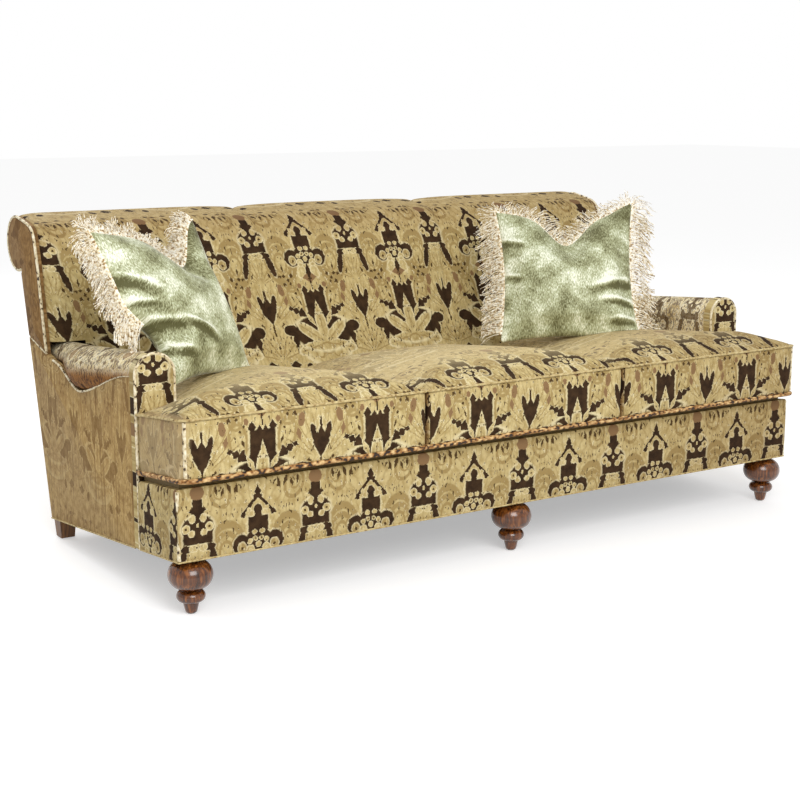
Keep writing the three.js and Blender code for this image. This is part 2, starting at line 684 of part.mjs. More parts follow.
// A crowned cushion over a grid in plan. cells(i, j) says which cells of the grid it fills, and sides are the
// straight edges of its plan, anticlockwise.
function cushionForm(xs, ys, cells, sides) {
  const points = [];
  const rows = 4;
  const used = (i, j) => [0, 1].some((a) => [0, 1].some((b) => cells(i - a, j - b)));
  const toSides = (x, y) =>
    Math.min(
      ...sides.map(([x0, y0, x1, y1]) => {
        const length = Math.hypot(x1 - x0, y1 - y0);
        const along = ((x - x0) * (x1 - x0) + (y - y0) * (y1 - y0)) / length;
        const near = THREE.MathUtils.clamp(along, 0, length) / length;
        return Math.hypot(x - x0 - near * (x1 - x0), y - y0 - near * (y1 - y0));
      }),
    );
  const tuckAt = (x, y, bulge) => {
    for (const [x0, y0, x1, y1] of sides) {
      const length = Math.hypot(x1 - x0, y1 - y0);
      const off = ((x - x0) * (y1 - y0) - (y - y0) * (x1 - x0)) / length;
      const along = ((x - x0) * (x1 - x0) + (y - y0) * (y1 - y0)) / length;
      const inside = along > gap && along < length - gap;
      if (Math.abs(off) < gap && inside) {
        const depth = (cushionEdgeTuck - bulge) * Math.sin((Math.PI * along) / length);
        return [(-depth * (y1 - y0)) / length, (depth * (x1 - x0)) / length];
      }
    }
    return [0, 0];
  };
  const depthShare = (y) => (y - ys[0]) / (ys[ys.length - 1] - ys[0]);
  const place = (x, y, up) => {
    const bulge = boxingBulge * Math.sin(Math.PI * up);
    const [dx, dy] = tuckAt(x, y, bulge);
    const [rx, ry] = roundedCorner(x, y);
    const lean = cushionRearLean * up * Math.pow(depthShare(y), 3);
    const moved = ry + dy + lean;
    return new THREE.Vector3(rx + dx, moved, seatPlane(moved) + up * cushionThickness);
  };
  const crownAt = (x, y) => {
    const full = Math.min(1, toSides(x, y) / crownReach);
    return cushionCrown * (1 - Math.pow(1 - full, 2));
  };
  const top = new Map();
  const bottom = new Map();
  const key = (i, j) => i + "," + j;
  for (let i = 0; i < xs.length; i++) {
    for (let j = 0; j < ys.length; j++) {
      if (!used(i, j)) continue;
      const crowned = place(xs[i], ys[j], 1);
      crowned.z += crownAt(xs[i], ys[j]);
      top.set(key(i, j), points.push(crowned) - 1);
      bottom.set(key(i, j), points.push(place(xs[i], ys[j], 0)) - 1);
    }
  }
  const triangles = [];
  const wall = new Map();
  const column = (i, j) => {
    if (!wall.has(key(i, j))) {
      const stack = [bottom.get(key(i, j))];
      for (let r = 1; r < rows; r++) stack.push(points.push(place(xs[i], ys[j], r / rows)) - 1);
      stack.push(top.get(key(i, j)));
      wall.set(key(i, j), stack);
    }
    return wall.get(key(i, j));
  };
  const addWall = (i0, j0, i1, j1) => {
    const a = column(i0, j0);
    const b = column(i1, j1);
    for (let r = 0; r < rows; r++) {
      triangles.push([a[r], b[r], b[r + 1]], [a[r], b[r + 1], a[r + 1]]);
    }
  };
  for (let i = 0; i + 1 < xs.length; i++) {
    for (let j = 0; j + 1 < ys.length; j++) {
      if (!cells(i, j)) continue;
      const corners = [key(i, j), key(i + 1, j), key(i + 1, j + 1), key(i, j + 1)];
      const [a, b, c, d] = corners.map((k) => top.get(k));
      const [e, f, g, h] = corners.map((k) => bottom.get(k));
      triangles.push([a, b, c], [a, c, d], [e, g, f], [e, h, g]);
      if (!cells(i, j - 1)) addWall(i, j, i + 1, j);
      if (!cells(i + 1, j)) addWall(i + 1, j, i + 1, j + 1);
      if (!cells(i, j + 1)) addWall(i + 1, j + 1, i, j + 1);
      if (!cells(i - 1, j)) addWall(i, j + 1, i, j);
    }
  }
  return closedForm(points, triangles);
}

function addCushions() {
  const front = -cushionFrontOverhang;
  const inside = seamOffset - cushionClearance / 2;
  const middleX = [...steps(-inside, inside, 13), inside];
  const middleY = [...steps(front, cushionRear, 15), cushionRear];
  const plain = (xs, ys) => (i, j) => i >= 0 && j >= 0 && i < xs.length - 1 && j < ys.length - 1;
  const middleSides = [
    [-inside, front, inside, front],
    [inside, front, inside, cushionRear],
    [inside, cushionRear, -inside, cushionRear],
    [-inside, cushionRear, -inside, front],
  ];
  const middle = cushionForm(middleX, middleY, plain(middleX, middleY), middleSides);
  add("seat_cushion_middle", middle, damask);

  const near = seamOffset + cushionClearance / 2;
  const far = armInside - cushionClearance;
  const ear = halfWidth;
  const earRear = armFrontFace - cushionClearance;
  const earSteps = 3;
  const bodySteps = 11;
  const outerX = [...steps(near, far, bodySteps), ...steps(far, ear, earSteps), ear];
  const earRows = 5;
  const outerY = [...steps(front, earRear, earRows), ...steps(earRear, cushionRear, 10), cushionRear];
  const filled = plain(outerX, outerY);
  const tee = (i, j) => filled(i, j) && (i < bodySteps || j < earRows);
  const outerSides = [
    [near, front, ear, front],
    [ear, front, ear, earRear],
    [ear, earRear, far, earRear],
    [far, earRear, far, cushionRear],
    [far, cushionRear, near, cushionRear],
    [near, cushionRear, near, front],
  ];
  const outer = cushionForm(outerX, outerY, tee, outerSides);
  addPair("seat_cushion", outer, damask);
}

// A scatter pillow: a square with drawn-in sides, full in the middle, creased from above. u and v run from -1
// to 1 across and up its face.
function pillowForm(creaseShare, creaseWidthShare, press) {
  const count = pillowSteps;
  const half = pillowSize / 2;
  const edgePlace = (u, v) => {
    const low = 1 - THREE.MathUtils.smoothstep(v, -0.5, 0.15);
    const pushed = press * low * Math.pow((1 - u) / 2, 1.5);
    const x = half * u * (1 - pillowDrawIn * (1 - v * v)) + pushed;
    const rise = Math.exp(-Math.pow((u - creaseShare) / creaseWidthShare, 2));
    const z = half * v * (1 - pillowDrawIn * (1 - u * u)) - pillowDip * rise * Math.pow((v + 1) / 2, 3);
    return [x, z];
  };
  const points = [];
  const faces = [];
  const index = (side, i, j) => faces[side][i * (count + 1) + j];
  for (const side of [0, 1]) {
    faces.push([]);
    for (let i = 0; i <= count; i++) {
      for (let j = 0; j <= count; j++) {
        const u = (2 * i) / count - 1;
        const v = (2 * j) / count - 1;
        const rim = i === 0 || j === 0 || i === count || j === count;
        if (side === 1 && rim) {
          faces[1].push(faces[0][i * (count + 1) + j]);
          continue;
        }
        const [x, z] = edgePlace(u, v);
        const full = Math.pow((1 - u * u) * (1 - v * v), 0.45);
        const pressed = Math.exp(-Math.pow((u - creaseShare) / creaseWidthShare, 2)) * Math.max(0, v);
        const swell = (pillowThickness / 2) * full * (1 - pressed / 2);
        faces[side].push(points.push(new THREE.Vector3(x, side ? swell : -swell, z)) - 1);
      }
    }
  }
  const triangles = [];
  for (let i = 0; i < count; i++) {
    for (let j = 0; j < count; j++) {
      const [a, b, c, d] = [index(0, i, j), index(0, i + 1, j), index(0, i + 1, j + 1), index(0, i, j + 1)];
      const [e, f, g, h] = [index(1, i, j), index(1, i + 1, j), index(1, i + 1, j + 1), index(1, i, j + 1)];
      triangles.push([a, b, c], [a, c, d], [e, g, f], [e, h, g]);
    }
  }
  return { geometry: closedForm(points, triangles), edgePlace };
}

// The fringe's space: a thin band round the left side, the top and the right side of a pillow, from a share
// up its left side to a share down its right side.
function fringeForm(edgePlace, leftShare, rightShare) {
  const route = [];
  const rimSteps = pillowSteps;
  for (let k = 0; k < rimSteps; k++) {
    const v = (2 * k) / rimSteps - 1;
    if (v > leftShare) route.push([-1, v]);
  }
  for (let k = 0; k <= rimSteps; k++) route.push([(2 * k) / rimSteps - 1, 1]);
  for (let k = rimSteps - 1; k > 0; k--) {
    const v = (2 * k) / rimSteps - 1;
    if (v > rightShare) route.push([1, v]);
  }
  const rim = route.map(([u, v]) => new THREE.Vector2(...edgePlace(u, v)));
  const sections = rim.map((place, k) => {
    const before = rim[Math.max(0, k - 1)];
    const after = rim[Math.min(rim.length - 1, k + 1)];
    const away = new THREE.Vector2(before.y - after.y, after.x - before.x).normalize();
    const at = (out, thick) => new THREE.Vector3(place.x + away.x * out, thick, place.y + away.y * out);
    return [
      at(gap, -gap),
      at(gap, gap),
      at(fringeLength, fringeThickness / 2),
      at(fringeLength, -fringeThickness / 2),
    ];
  });
  const triangles = [];
  const last = (sections.length - 1) * 4;
  for (let s = 0; s + 1 < sections.length; s++) {
    for (let i = 0; i < 4; i++) {
      const a = s * 4 + i;
      const b = s * 4 + ((i + 1) % 4);
      triangles.push([a, b, b + 4], [a, b + 4, a + 4]);
    }
  }
  triangles.push([0, 2, 1], [0, 3, 2], [last, last + 1, last + 2], [last, last + 2, last + 3]);
  return closedForm(sections.flat(), triangles);
}

// How far a form above others can come straight down before it meets one of them.
function clearDrop(form, supports) {
  const ray = new THREE.Raycaster();
  let least = Infinity;
  const look = (from, targets, rise) => {
    const places = from.geometry.getAttribute("position");
    for (let i = 0; i < places.count; i++) {
      const start = new THREE.Vector3().fromBufferAttribute(places, i).applyMatrix4(from.matrixWorld);
      ray.set(start, new THREE.Vector3(0, 0, rise));
      for (const hit of ray.intersectObjects(targets)) least = Math.min(least, hit.distance);
    }
  };
  look(form, supports, -1);
  for (const support of supports) look(support, [form], 1);
  return least;
}

// Each pillow is leant and turned, let down until it rests on the cushions or an arm, and pressed flat there.
function addPillows() {
  sofa.updateMatrixWorld(true);
  const supports = sofa.children.filter(({ name }) => /^(seat_cushion|arm)_(left|middle|right)$/.test(name));
  const pillows = [
    {
      side: "left",
      place: [leftPillowInset - armInside, leftPillowDepth],
      lean: -27,
      roll: 3,
      turn: 27,
      creaseShares: [0.45, 0.3],
      press: armPress,
      fringeShares: [-0.2, 2],
    },
    {
      side: "right",
      place: [armInside - rightPillowInset, rightPillowDepth],
      lean: -28,
      roll: 0,
      turn: -31,
      creaseShares: [0, 0.34],
      press: 0,
      fringeShares: [-0.9, -0.9],
    },
  ];
  for (const { side, place, lean, roll, turn, creaseShares, press, fringeShares } of pillows) {
    const { geometry, edgePlace } = pillowForm(...creaseShares, press);
    const form = new THREE.Mesh(geometry, velvet);
    form.position.set(...place, borderTop + cushionThickness + pillowSize);
    form.rotation.set(...[lean, roll, turn].map(THREE.MathUtils.degToRad), "ZYX");
    form.updateMatrixWorld();
    form.position.z -= clearDrop(form, supports) + pillowSettle;
    form.updateMatrixWorld();
    const cushion = sofa.getObjectByName("seat_cushion_" + side);
    const settled = solidInPlace(form).subtract(solidInPlace(cushion, gap));
    add("pillow_" + side, geometryOf(settled), velvet);
    const fringe = fringeForm(edgePlace, ...fringeShares).applyMatrix4(form.matrixWorld);
    add("pillow_fringe_" + side, fringe, fringeYarn);
  }
}

addFrame();
addSeatSupport();
addFeet();
addFrontBorder();
const sections = armSections();
const armPanel = addArms(sections);
addBack(armPanel);
addCushions();
addPillows();

// The origin goes to the middle of the footprint, on the floor.
sofa.updateMatrixWorld(true);
const span = new THREE.Box3().setFromObject(sofa, true);
sofa.position.x = -(span.min.x + span.max.x) / 2;
sofa.position.y = -(span.min.y + span.max.y) / 2;

export default sofa;
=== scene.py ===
# Three-seat damask sofa with rolled arms, a scrolled back and two fringed velvet pillows.
# Metres. Pieces are drawn with y = 0 at the face of the front border and x = 0 in the middle,
# and makePiece moves them to where the frame stands.
import math
import bmesh
import bpy
from mathutils import Euler, Matrix, Vector
from mathutils.bvhtree import BVHTree


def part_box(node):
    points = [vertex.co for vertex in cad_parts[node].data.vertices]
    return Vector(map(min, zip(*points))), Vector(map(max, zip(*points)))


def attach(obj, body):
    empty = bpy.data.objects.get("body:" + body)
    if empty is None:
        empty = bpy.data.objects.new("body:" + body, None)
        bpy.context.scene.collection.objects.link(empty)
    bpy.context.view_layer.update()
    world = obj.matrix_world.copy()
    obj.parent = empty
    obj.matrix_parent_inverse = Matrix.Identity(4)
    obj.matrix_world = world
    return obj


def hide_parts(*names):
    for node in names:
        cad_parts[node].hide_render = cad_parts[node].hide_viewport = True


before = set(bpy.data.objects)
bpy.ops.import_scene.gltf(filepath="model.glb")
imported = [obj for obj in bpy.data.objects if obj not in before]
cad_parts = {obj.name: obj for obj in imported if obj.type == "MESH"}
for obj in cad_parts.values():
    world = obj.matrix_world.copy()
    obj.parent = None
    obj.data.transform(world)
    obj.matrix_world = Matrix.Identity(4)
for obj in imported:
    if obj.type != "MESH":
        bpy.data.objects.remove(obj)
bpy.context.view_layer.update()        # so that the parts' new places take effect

borderLow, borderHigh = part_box("front_border")
origin = Vector(((borderLow.x + borderHigh.x) / 2, borderLow.y, 0))

gap = 0.0004  # between neighbouring pieces
halfWidth = 1.083
panelThickness = 0.017
panelRound = 0.005
panelPuff = 0.001
boardThickness = 0.028
armInside = 0.967
timberOutside = halfWidth - panelThickness - gap
timberInside = timberOutside - boardThickness


def lerp(a, b, share):
    return a + (b - a) * share


def smooth(value, low, high):
    share = min(1, max(0, (value - low) / (high - low)))
    return share * share * (3 - 2 * share)


def steps(start, end, count):
    return [lerp(start, end, k / count) for k in range(count + 1)]


# Heights that follow the depth of the sofa, which falls to the rear.
body = {
    "depth": 0.912,
    "frontClearance": 0.152,
    "rearClearance": 0.058,
    "borderHeight": 0.191,
    "deckFall": 0.1125,  # how fast the seat falls to the rear, as a slope
    "cushionSeam": 0.018,  # dark seam between the border and the cushions
    "backLean": 0.170,
    "backHeight": 0.727,
    "postDepth": 0.050,
}


def bottomEdge(y):
    return body["frontClearance"] - (body["frontClearance"] - body["rearClearance"]) * y / body["depth"]


def borderTop(y):
    return body["frontClearance"] + body["borderHeight"] - body["deckFall"] * y


def seatPlane(y):
    return borderTop(y) + body["cushionSeam"]


def outsideBack(z):
    return body["depth"] + body["backLean"] / body["backHeight"] * (z - body["rearClearance"])


def postFront(z):
    return outsideBack(z) - panelThickness - gap - body["postDepth"]


# Materials
bandScale = 0.314  # a wave texture with this scale has one band in each unit


def linear(hexColour):
    values = [int(hexColour[k:k + 2], 16) / 255 for k in (1, 3, 5)]
    return tuple(v / 12.92 if v <= 0.04045 else ((v + 0.055) / 1.055) ** 2.4 for v in values) + (1,)


def feed(tree, node, inputs):
    for key, value in inputs.items():
        if isinstance(value, bpy.types.NodeSocket):
            tree.links.new(value, node.inputs[key])
        else:
            node.inputs[key].default_value = value


def addNode(tree, kind, inputs=None, **settings):
    node = tree.nodes.new(kind)
    for key, value in settings.items():
        setattr(node, key, value)
    feed(tree, node, inputs or {})
    return node


def maths(tree, operation, *values):
    return addNode(tree, "ShaderNodeMath", dict(enumerate(values)), operation=operation).outputs[0]


def times(tree, first, second):
    return maths(tree, "MULTIPLY", first, second)


def vectorNode(tree, operation, values):
    return addNode(tree, "ShaderNodeVectorMath", dict(enumerate(values)), operation=operation)


def vectors(tree, operation, *values):
    return vectorNode(tree, operation, values).outputs["Vector"]


# Vector arithmetic whose result is a number
def measure(tree, operation, *values):
    return vectorNode(tree, operation, values).outputs["Value"]


def scaled(tree, vector, factor):
    return addNode(tree, "ShaderNodeVectorMath", {0: vector, 3: factor}, operation="SCALE").outputs["Vector"]


def noise(tree, place, scale, detail, distortion=0.0):
    inputs = {"Vector": place, "Scale": scale, "Detail": detail, "Distortion": distortion}
    return addNode(tree, "ShaderNodeTexNoise", inputs).outputs["Fac"]


# Draws the span from low to high on to the span from first to last, and goes no further at either end.
def ranged(tree, value, low, high, first, last):
    inputs = {"Value": value, "From Min": low, "From Max": high, "To Min": first, "To Max": last}
    return addNode(tree, "ShaderNodeMapRange", inputs).outputs["Result"]


def mixed(tree, share, first, second, blend="MIX"):
    inputs = {0: share, 6: first, 7: second}
    return addNode(tree, "ShaderNodeMix", inputs, data_type="RGBA", blend_type=blend).outputs[2]


def bands(tree, place, size, axis, inputs):
    inputs = {"Vector": place, "Scale": bandScale / size, **inputs}
    return addNode(tree, "ShaderNodeTexWave", inputs, bands_direction=axis).outputs["Fac"]


def bumped(tree, strength, distance, height):
    inputs = {"Strength": strength, "Distance": distance, "Height": height}
    return addNode(tree, "ShaderNodeBump", inputs).outputs["Normal"]


def flatPoint(tree, across, up):
    return addNode(tree, "ShaderNodeCombineXYZ", {0: across, 1: up}).outputs[0]


def parted(tree, vector):
    return addNode(tree, "ShaderNodeSeparateXYZ", {0: vector}).outputs


def clothPlace(tree):
    return addNode(tree, "ShaderNodeUVMap", uv_map="cloth").outputs["UV"]


def ownPlace(tree):
    return addNode(tree, "ShaderNodeTexCoord").outputs["Object"]


# What markCloth has written on the cloth under this name.
def markOn(tree, mark):
    return addNode(tree, "ShaderNodeAttribute", attribute_name=mark).outputs["Fac"]


# Colours in a row, each as (where it stands, its hex code).
def ramped(tree, value, stops):
    ramp = addNode(tree, "ShaderNodeValToRGB", {"Fac": value})
    elements = ramp.color_ramp.elements
    ends = ((elements[0], stops[0]), (elements[1], stops[-1]))
    for element, (position, hexColour) in ends:
        element.position = position
        element.color = linear(hexColour)
    for position, hexColour in stops[1:-1]:
        elements.new(position).color = linear(hexColour)
    return ramp.outputs["Color"]


def newMaterial(name):
    material = bpy.data.materials.new(name)
    material.use_nodes = True
    tree = material.node_tree
    tree.nodes.clear()
    shader = addNode(tree, "ShaderNodeBsdfPrincipled")
    addNode(tree, "ShaderNodeOutputMaterial", {"Surface": shader.outputs["BSDF"]})
    return material, tree, shader


damask = {
    "castleSpacing": 343,  # mm between castle columns; a tulip column stands halfway
    "repeatBottom": -262.0,  # mm, with the castle's middle at 0
    "repeatTop": 352.0,
    "edgeWander": 3.4,  # mm that the woven outlines stray
    "edgeGrain": 10.0,  # mm
    "weaveStep": 2.2,  # mm; outlines run in steps of this size
    "thread": 2.2,  # mm; real threads are finer and wouldn't show
    "veinSpacing": 17.0,  # mm between the leaf veins that run up the cloth
    "streak": (9.0, 240.0),  # mm, width and length of the painted streaks of light skimming the cloth along the sides
    "speckSize": 8.5,  # mm
    "groupSize": 55.0,  # mm, of the specks' loose groups
    "slubSize": 24.0,  # mm, of the slow changes of shade
    "curlShare": 7.0,  # a curl's radius over half the width of its line
    "veinShare": 0.42,  # how strongly the veins show
    "paleShare": 0.7,  # how strongly the pale threads show
    "paintedSkimFigureShare": 0.35,  # how much of the figures is left under painted skimming light
    "paintedSkimStrength": 0.3,
    "paintedShadeColour": "#9C7040",  # multiplied into the cloth's colour as painted shade
}
# The same cloth in three lights, as lit and shaded copies. On the faces its figures stand out. The sides are
# painted darker as shade, with the figures sunk into painted streaks of skimming light. The arms' rolls are
# painted paler, with glints.
damaskTones = {
    "face": {
        "gold": "#C2AD78", "goldShade": "#AA945E", "goldLight": "#D4C490", "vein": "#9A8250",
        "highlight": "#EFE5BE", "ground": "#4C3722", "groundDark": "#291A0C", "line": "#4E3A1E",
        "cap": "#886A48", "paintedSkimColour": "#E6D2A8",
        "figureShare": 1.0, "streakShare": 0.0, "speckFrom": 0.87, "paleFrom": 0.62,
    },
    "side": {
        "gold": "#B39560", "goldShade": "#987A4A", "goldLight": "#C3A874", "vein": "#8F7044",
        "highlight": "#CBB380", "ground": "#80623C", "groundDark": "#6A4D2B", "line": "#765732",
        "cap": "#9A7A4C", "paintedSkimColour": "#B39560", "streak": "#7E6038",
        "figureShare": 0.62, "streakShare": 0.75, "speckFrom": 0.84, "paleFrom": 0.66,
    },
    "roll": {
        "gold": "#E2D0A2", "goldShade": "#C4AD78", "goldLight": "#F8EFCC", "vein": "#A98C56",
        "highlight": "#FFF9E2", "ground": "#6A4E2E", "groundDark": "#3C2610", "line": "#5E421F",
        "cap": "#9A7A50", "paintedSkimColour": "#D6C394",
        "figureShare": 0.8, "streakShare": 0.0, "speckFrom": 0.73, "paleFrom": 0.46,
    },
}
# Fans: column, place of the root in mm, degrees between two blades, and how far to each side the fan opens.
# Inside a fan, "across" is measured from the nearest blade and "up" from the root.
fans = {
    "palmette": ("castle", (0, -132), 52, 128),
    "tulipLeaves": ("tulip", (0, -70), 11, 58),
    "scroll": ("castle", (92, 134), 30, 180),
    "leafBase": ("tulip", (0, 66), 16, 72),
    "bud": ("tulip", (0, -178), 24, 80),
}
# The weave's figures: column or fan, form, (across, up), (half width, half height) in mm, and the turn in
# degrees. Across is measured from the column, and each figure is woven on both sides of it.
groundFigures = [
    ("castle", "block", (0, 2), (37, 33), 0),
    ("castle", "spear", (30, 42), (12, 17), 0),
    ("castle", "spear", (9, 36), (8, 10), 0),
    ("castle", "block", (27, -36), (12, 8), 0),
    ("castle", "block", (50, -37), (22, 6), 4),
    ("castle", "spear", (60, -27), (12, 15), 12),
    ("castle", "spear", (78, -22), (14, 12), 28),
    ("castle", "spear", (95, -14), (10, 8), -20),
    ("castle", "block", (0, 62), (2.2, 18), 0),
    ("castle", "oval", (0, 158), (36, 30), 0),
    ("castle", "oval", (48, 148), (25, 27), 0),
    ("castle", "block", (0, 200), (29, 20), 0),
    ("castle", "oval", (0, 233), (13, 19), 0),
    ("castle", "block", (22, 252), (31, 4.4), -47),
    ("castle", "block", (43, 226), (7, 6), 20),
    ("castle", "spear", (0, 284), (10, 20), 0),
    ("castle", "block", (0, 273), (13, 4), 0),
    ("castle", "oval", (0, -98), (104, 58), 0),
    ("castle", "spear", (0, 104), (12, 26), 0),
    ("tulip", "block", (0, 270), (14, 16), 0),
    ("tulip", "spear", (0, 258), (26, 12), 0),
    ("tulip", "block", (0, 240), (17, 18), 0),
    ("tulip", "oval", (0, 212), (45, 34), 0),
    ("tulip", "block", (0, 188), (41, 17), 0),
    ("tulip", "oval", (32, 160), (17, 10), 0),
    ("tulip", "oval", (45, 126), (10, 36), 14),
    ("tulip", "oval", (20, 4), (9, 30), -15),
    ("tulip", "block", (0, 14), (3.2, 32), 0),
    ("tulip", "spear", (0, -18), (25, 44), 0),
    ("tulip", "oval", (56, -84), (24, 18), 0),
    ("tulip", "spear", (66, -116), (12, 30), 0),
    ("tulip", "spear", (40, -196), (20, 15), 0),
    ("castle", "oval", (84, -206), (10, 14), 20),
]
# Caps and eyes, woven in a middle brown.
capFigures = [
    ("castle", "spear", (0, 84), (27, 18), 0),
    ("tulip", "oval", (0, 302), (20, 19), 0),
    ("tulip", "oval", (57, 48), (10, 19), 8),
    ("tulip", "spear", (66, 12), (8, 18), -10),
    ("castle", "oval", (46, 58), (7, 9), 0),
]
leafFigures = [
    ("castle", "spear", (0, -36), (15, 44), 0),
    ("palmette", "oval", (0, 68), (20, 44), 0),
    ("palmette", "spear", (0, 44), (22, 66), 0),
    ("castle", "spear", (34, -52), (9, 30), -30),
    ("castle", "oval", (0, -164), (86, 44), 0),
    ("castle", "oval", (0, 144), (8, 9), 0),
    ("castle", "oval", (11, 178), (8, 7), 0),
    ("castle", "oval", (9, 160), (7, 7), 0),
    ("castle", "oval", (24, 154), (8, 8), 0),
    ("castle", "oval", (23, 132), (12, 13), 0),
    ("castle", "oval", (47, 140), (14, 16), 0),
    ("castle", "oval", (18, 228), (9, 9), 0),
    ("castle", "oval", (27, 240), (6, 6), 0),
    ("castle", "oval", (25, 102), (15, 22), 28),
    ("tulip", "oval", (16, 238), (10, 12), 0),
    ("tulip", "oval", (33, 213), (12, 12), 0),
    ("tulip", "oval", (17, 200), (10, 9), 0),
    ("tulip", "oval", (0, 220), (4, 6), 0),
    ("tulip", "oval", (14, 160), (13, 10), 0),
    ("tulip", "spear", (10, 32), (7, 24), 10),
]
lineFigures = [
    ("castle", "oval", (47, 138), (4, 4), 0),
    ("castle", "oval", (9, 160), (2.4, 2.4), 0),
    ("tulip", "oval", (33, 213), (3.2, 3.2), 0),
    ("castle", "oval", (64, 34), (4, 4), 0),
    ("castle", "spear", (56, 4), (4, 12), -20),
    ("castle", "spear", (66, 92), (6, 9), 20),
    ("castle", "spear", (80, 78), (6, 7), -20),
    ("castle", "spear", (92, 92), (7, 6), 0),
    ("castle", "spear", (74, 66), (5, 6), 0),
    ("castle", "spear", (96, 66), (5, 9), 30),
    ("castle", "spear", (62, 300), (5, 16), 15),
    ("castle", "spear", (82, 304), (6, 16), -20),
    ("castle", "spear", (100, 296), (5, 14), 20),
    ("castle", "spear", (118, 302), (5, 14), -10),
    ("castle", "spear", (74, 334), (11, 7), 0),
    ("castle", "spear", (112, 328), (10, 6), 30),
    ("castle", "spear", (30, 328), (10, 5), -20),
    ("castle", "spear", (134, 330), (8, 8), 0),
    ("castle", "spear", (92, 116), (4, 12), 0),
    ("tulip", "block", (0, -80), (2.4, 20), 0),
    ("tulip", "spear", (30, 96), (4, 12), 20),
    ("tulip", "oval", (0, -138), (4, 6), 0),
]
# Soft curls and ribs of the acanthus leaves, woven in a half tone.
curlFigures = [
    ("castle", "ring", (92, 134), (19, 30), 0),
    ("castle", "ring", (92, 136), (33, 50), 0),
    ("castle", "ring", (90, 140), (48, 70), 0),
    ("tulip", "ring", (64, 292), (26, 36), 20),
    ("tulip", "ring", (60, 296), (13, 18), 20),
    ("castle", "ring", (70, 12), (24, 46), -8),
    ("castle", "ring", (76, 66), (20, 26), 0),
    ("scroll", "block", (0, 40), (1.8, 14), 0),
    ("palmette", "block", (0, 62), (2.2, 36), 0),
    ("tulipLeaves", "block", (0, 84), (1.5, 44), 0),
    ("leafBase", "block", (0, 46), (1.6, 26), 0),
    ("bud", "block", (0, 44), (2.0, 26), 0),
    ("castle", "ring", (0, -150), (22, 18), 0),
    ("castle", "ring", (34, -160), (14, 20), -20),
]


# Coordinates in a fan: across from the nearest blade and up from its root, in mm.
def openFan(tree, column, root, spacing, opening):
    fromRoot = vectors(tree, "SUBTRACT", column, (*root, 0))
    parts = parted(tree, fromRoot)
    length = measure(tree, "LENGTH", fromRoot)
    angle = maths(tree, "ARCTAN2", parts[0], parts[1])
    turned = maths(tree, "ABSOLUTE", angle)
    half = math.radians(spacing / 2)
    shifted = maths(tree, "ADD", turned, half)
    inTurn = maths(tree, "PINGPONG", shifted, half)
    off = maths(tree, "SUBTRACT", half, inTurn)
    beyond = maths(tree, "SUBTRACT", turned, math.radians(opening))
    either = maths(tree, "MAXIMUM", off, beyond)
    across = times(tree, either, length)
    return flatPoint(tree, across, length)


# How far out a place lies in a figure: 0 in its middle and 1 on its outline.
def reachIn(tree, column, form, place, size, turn):
    cos, sin = math.cos(math.radians(turn)), math.sin(math.radians(turn))
    fromPlace = vectors(tree, "SUBTRACT", column, (*place, 0))
    if turn:
        across = measure(tree, "DOT_PRODUCT", fromPlace, (cos / size[0], sin / size[0], 0))
        up = measure(tree, "DOT_PRODUCT", fromPlace, (-sin / size[1], cos / size[1], 0))
        inFigure = flatPoint(tree, across, up)
    else:
        inFigure = vectors(tree, "MULTIPLY", fromPlace, (1 / size[0], 1 / size[1], 0))
    if form in ("oval", "ring"):
        reach = measure(tree, "LENGTH", inFigure)
    else:
        plain = vectors(tree, "ABSOLUTE", inFigure)
    if form == "spear":
        reach = measure(tree, "DOT_PRODUCT", plain, (1, 1, 0))
    if form == "block":
        sides = [measure(tree, "DOT_PRODUCT", plain, axis) for axis in ((1, 0, 0), (0, 1, 0))]
        reach = maths(tree, "MAXIMUM", *sides)
    if form == "ring":
        off = maths(tree, "SUBTRACT", reach, 1.0)
        away = maths(tree, "ABSOLUTE", off)
        reach = times(tree, away, damask["curlShare"])
    return reach


def nearestOf(tree, figures, columns):
    nearest = None
    for column, form, place, size, turn in figures:
        reach = reachIn(tree, columns[column], form, place, size, turn)
        if nearest is None:
            nearest = reach
        else:
            nearest = maths(tree, "MINIMUM", nearest, reach)
    return nearest


# Turns a reach into a share: 1 up to low and 0 from high.
def within(tree, reach, low=0.96, high=1.05):
    return ranged(tree, reach, low, high, 1.0, 0.0)


def above(tree, value, low, high):
    return ranged(tree, value, low, high, 0.0, 1.0)
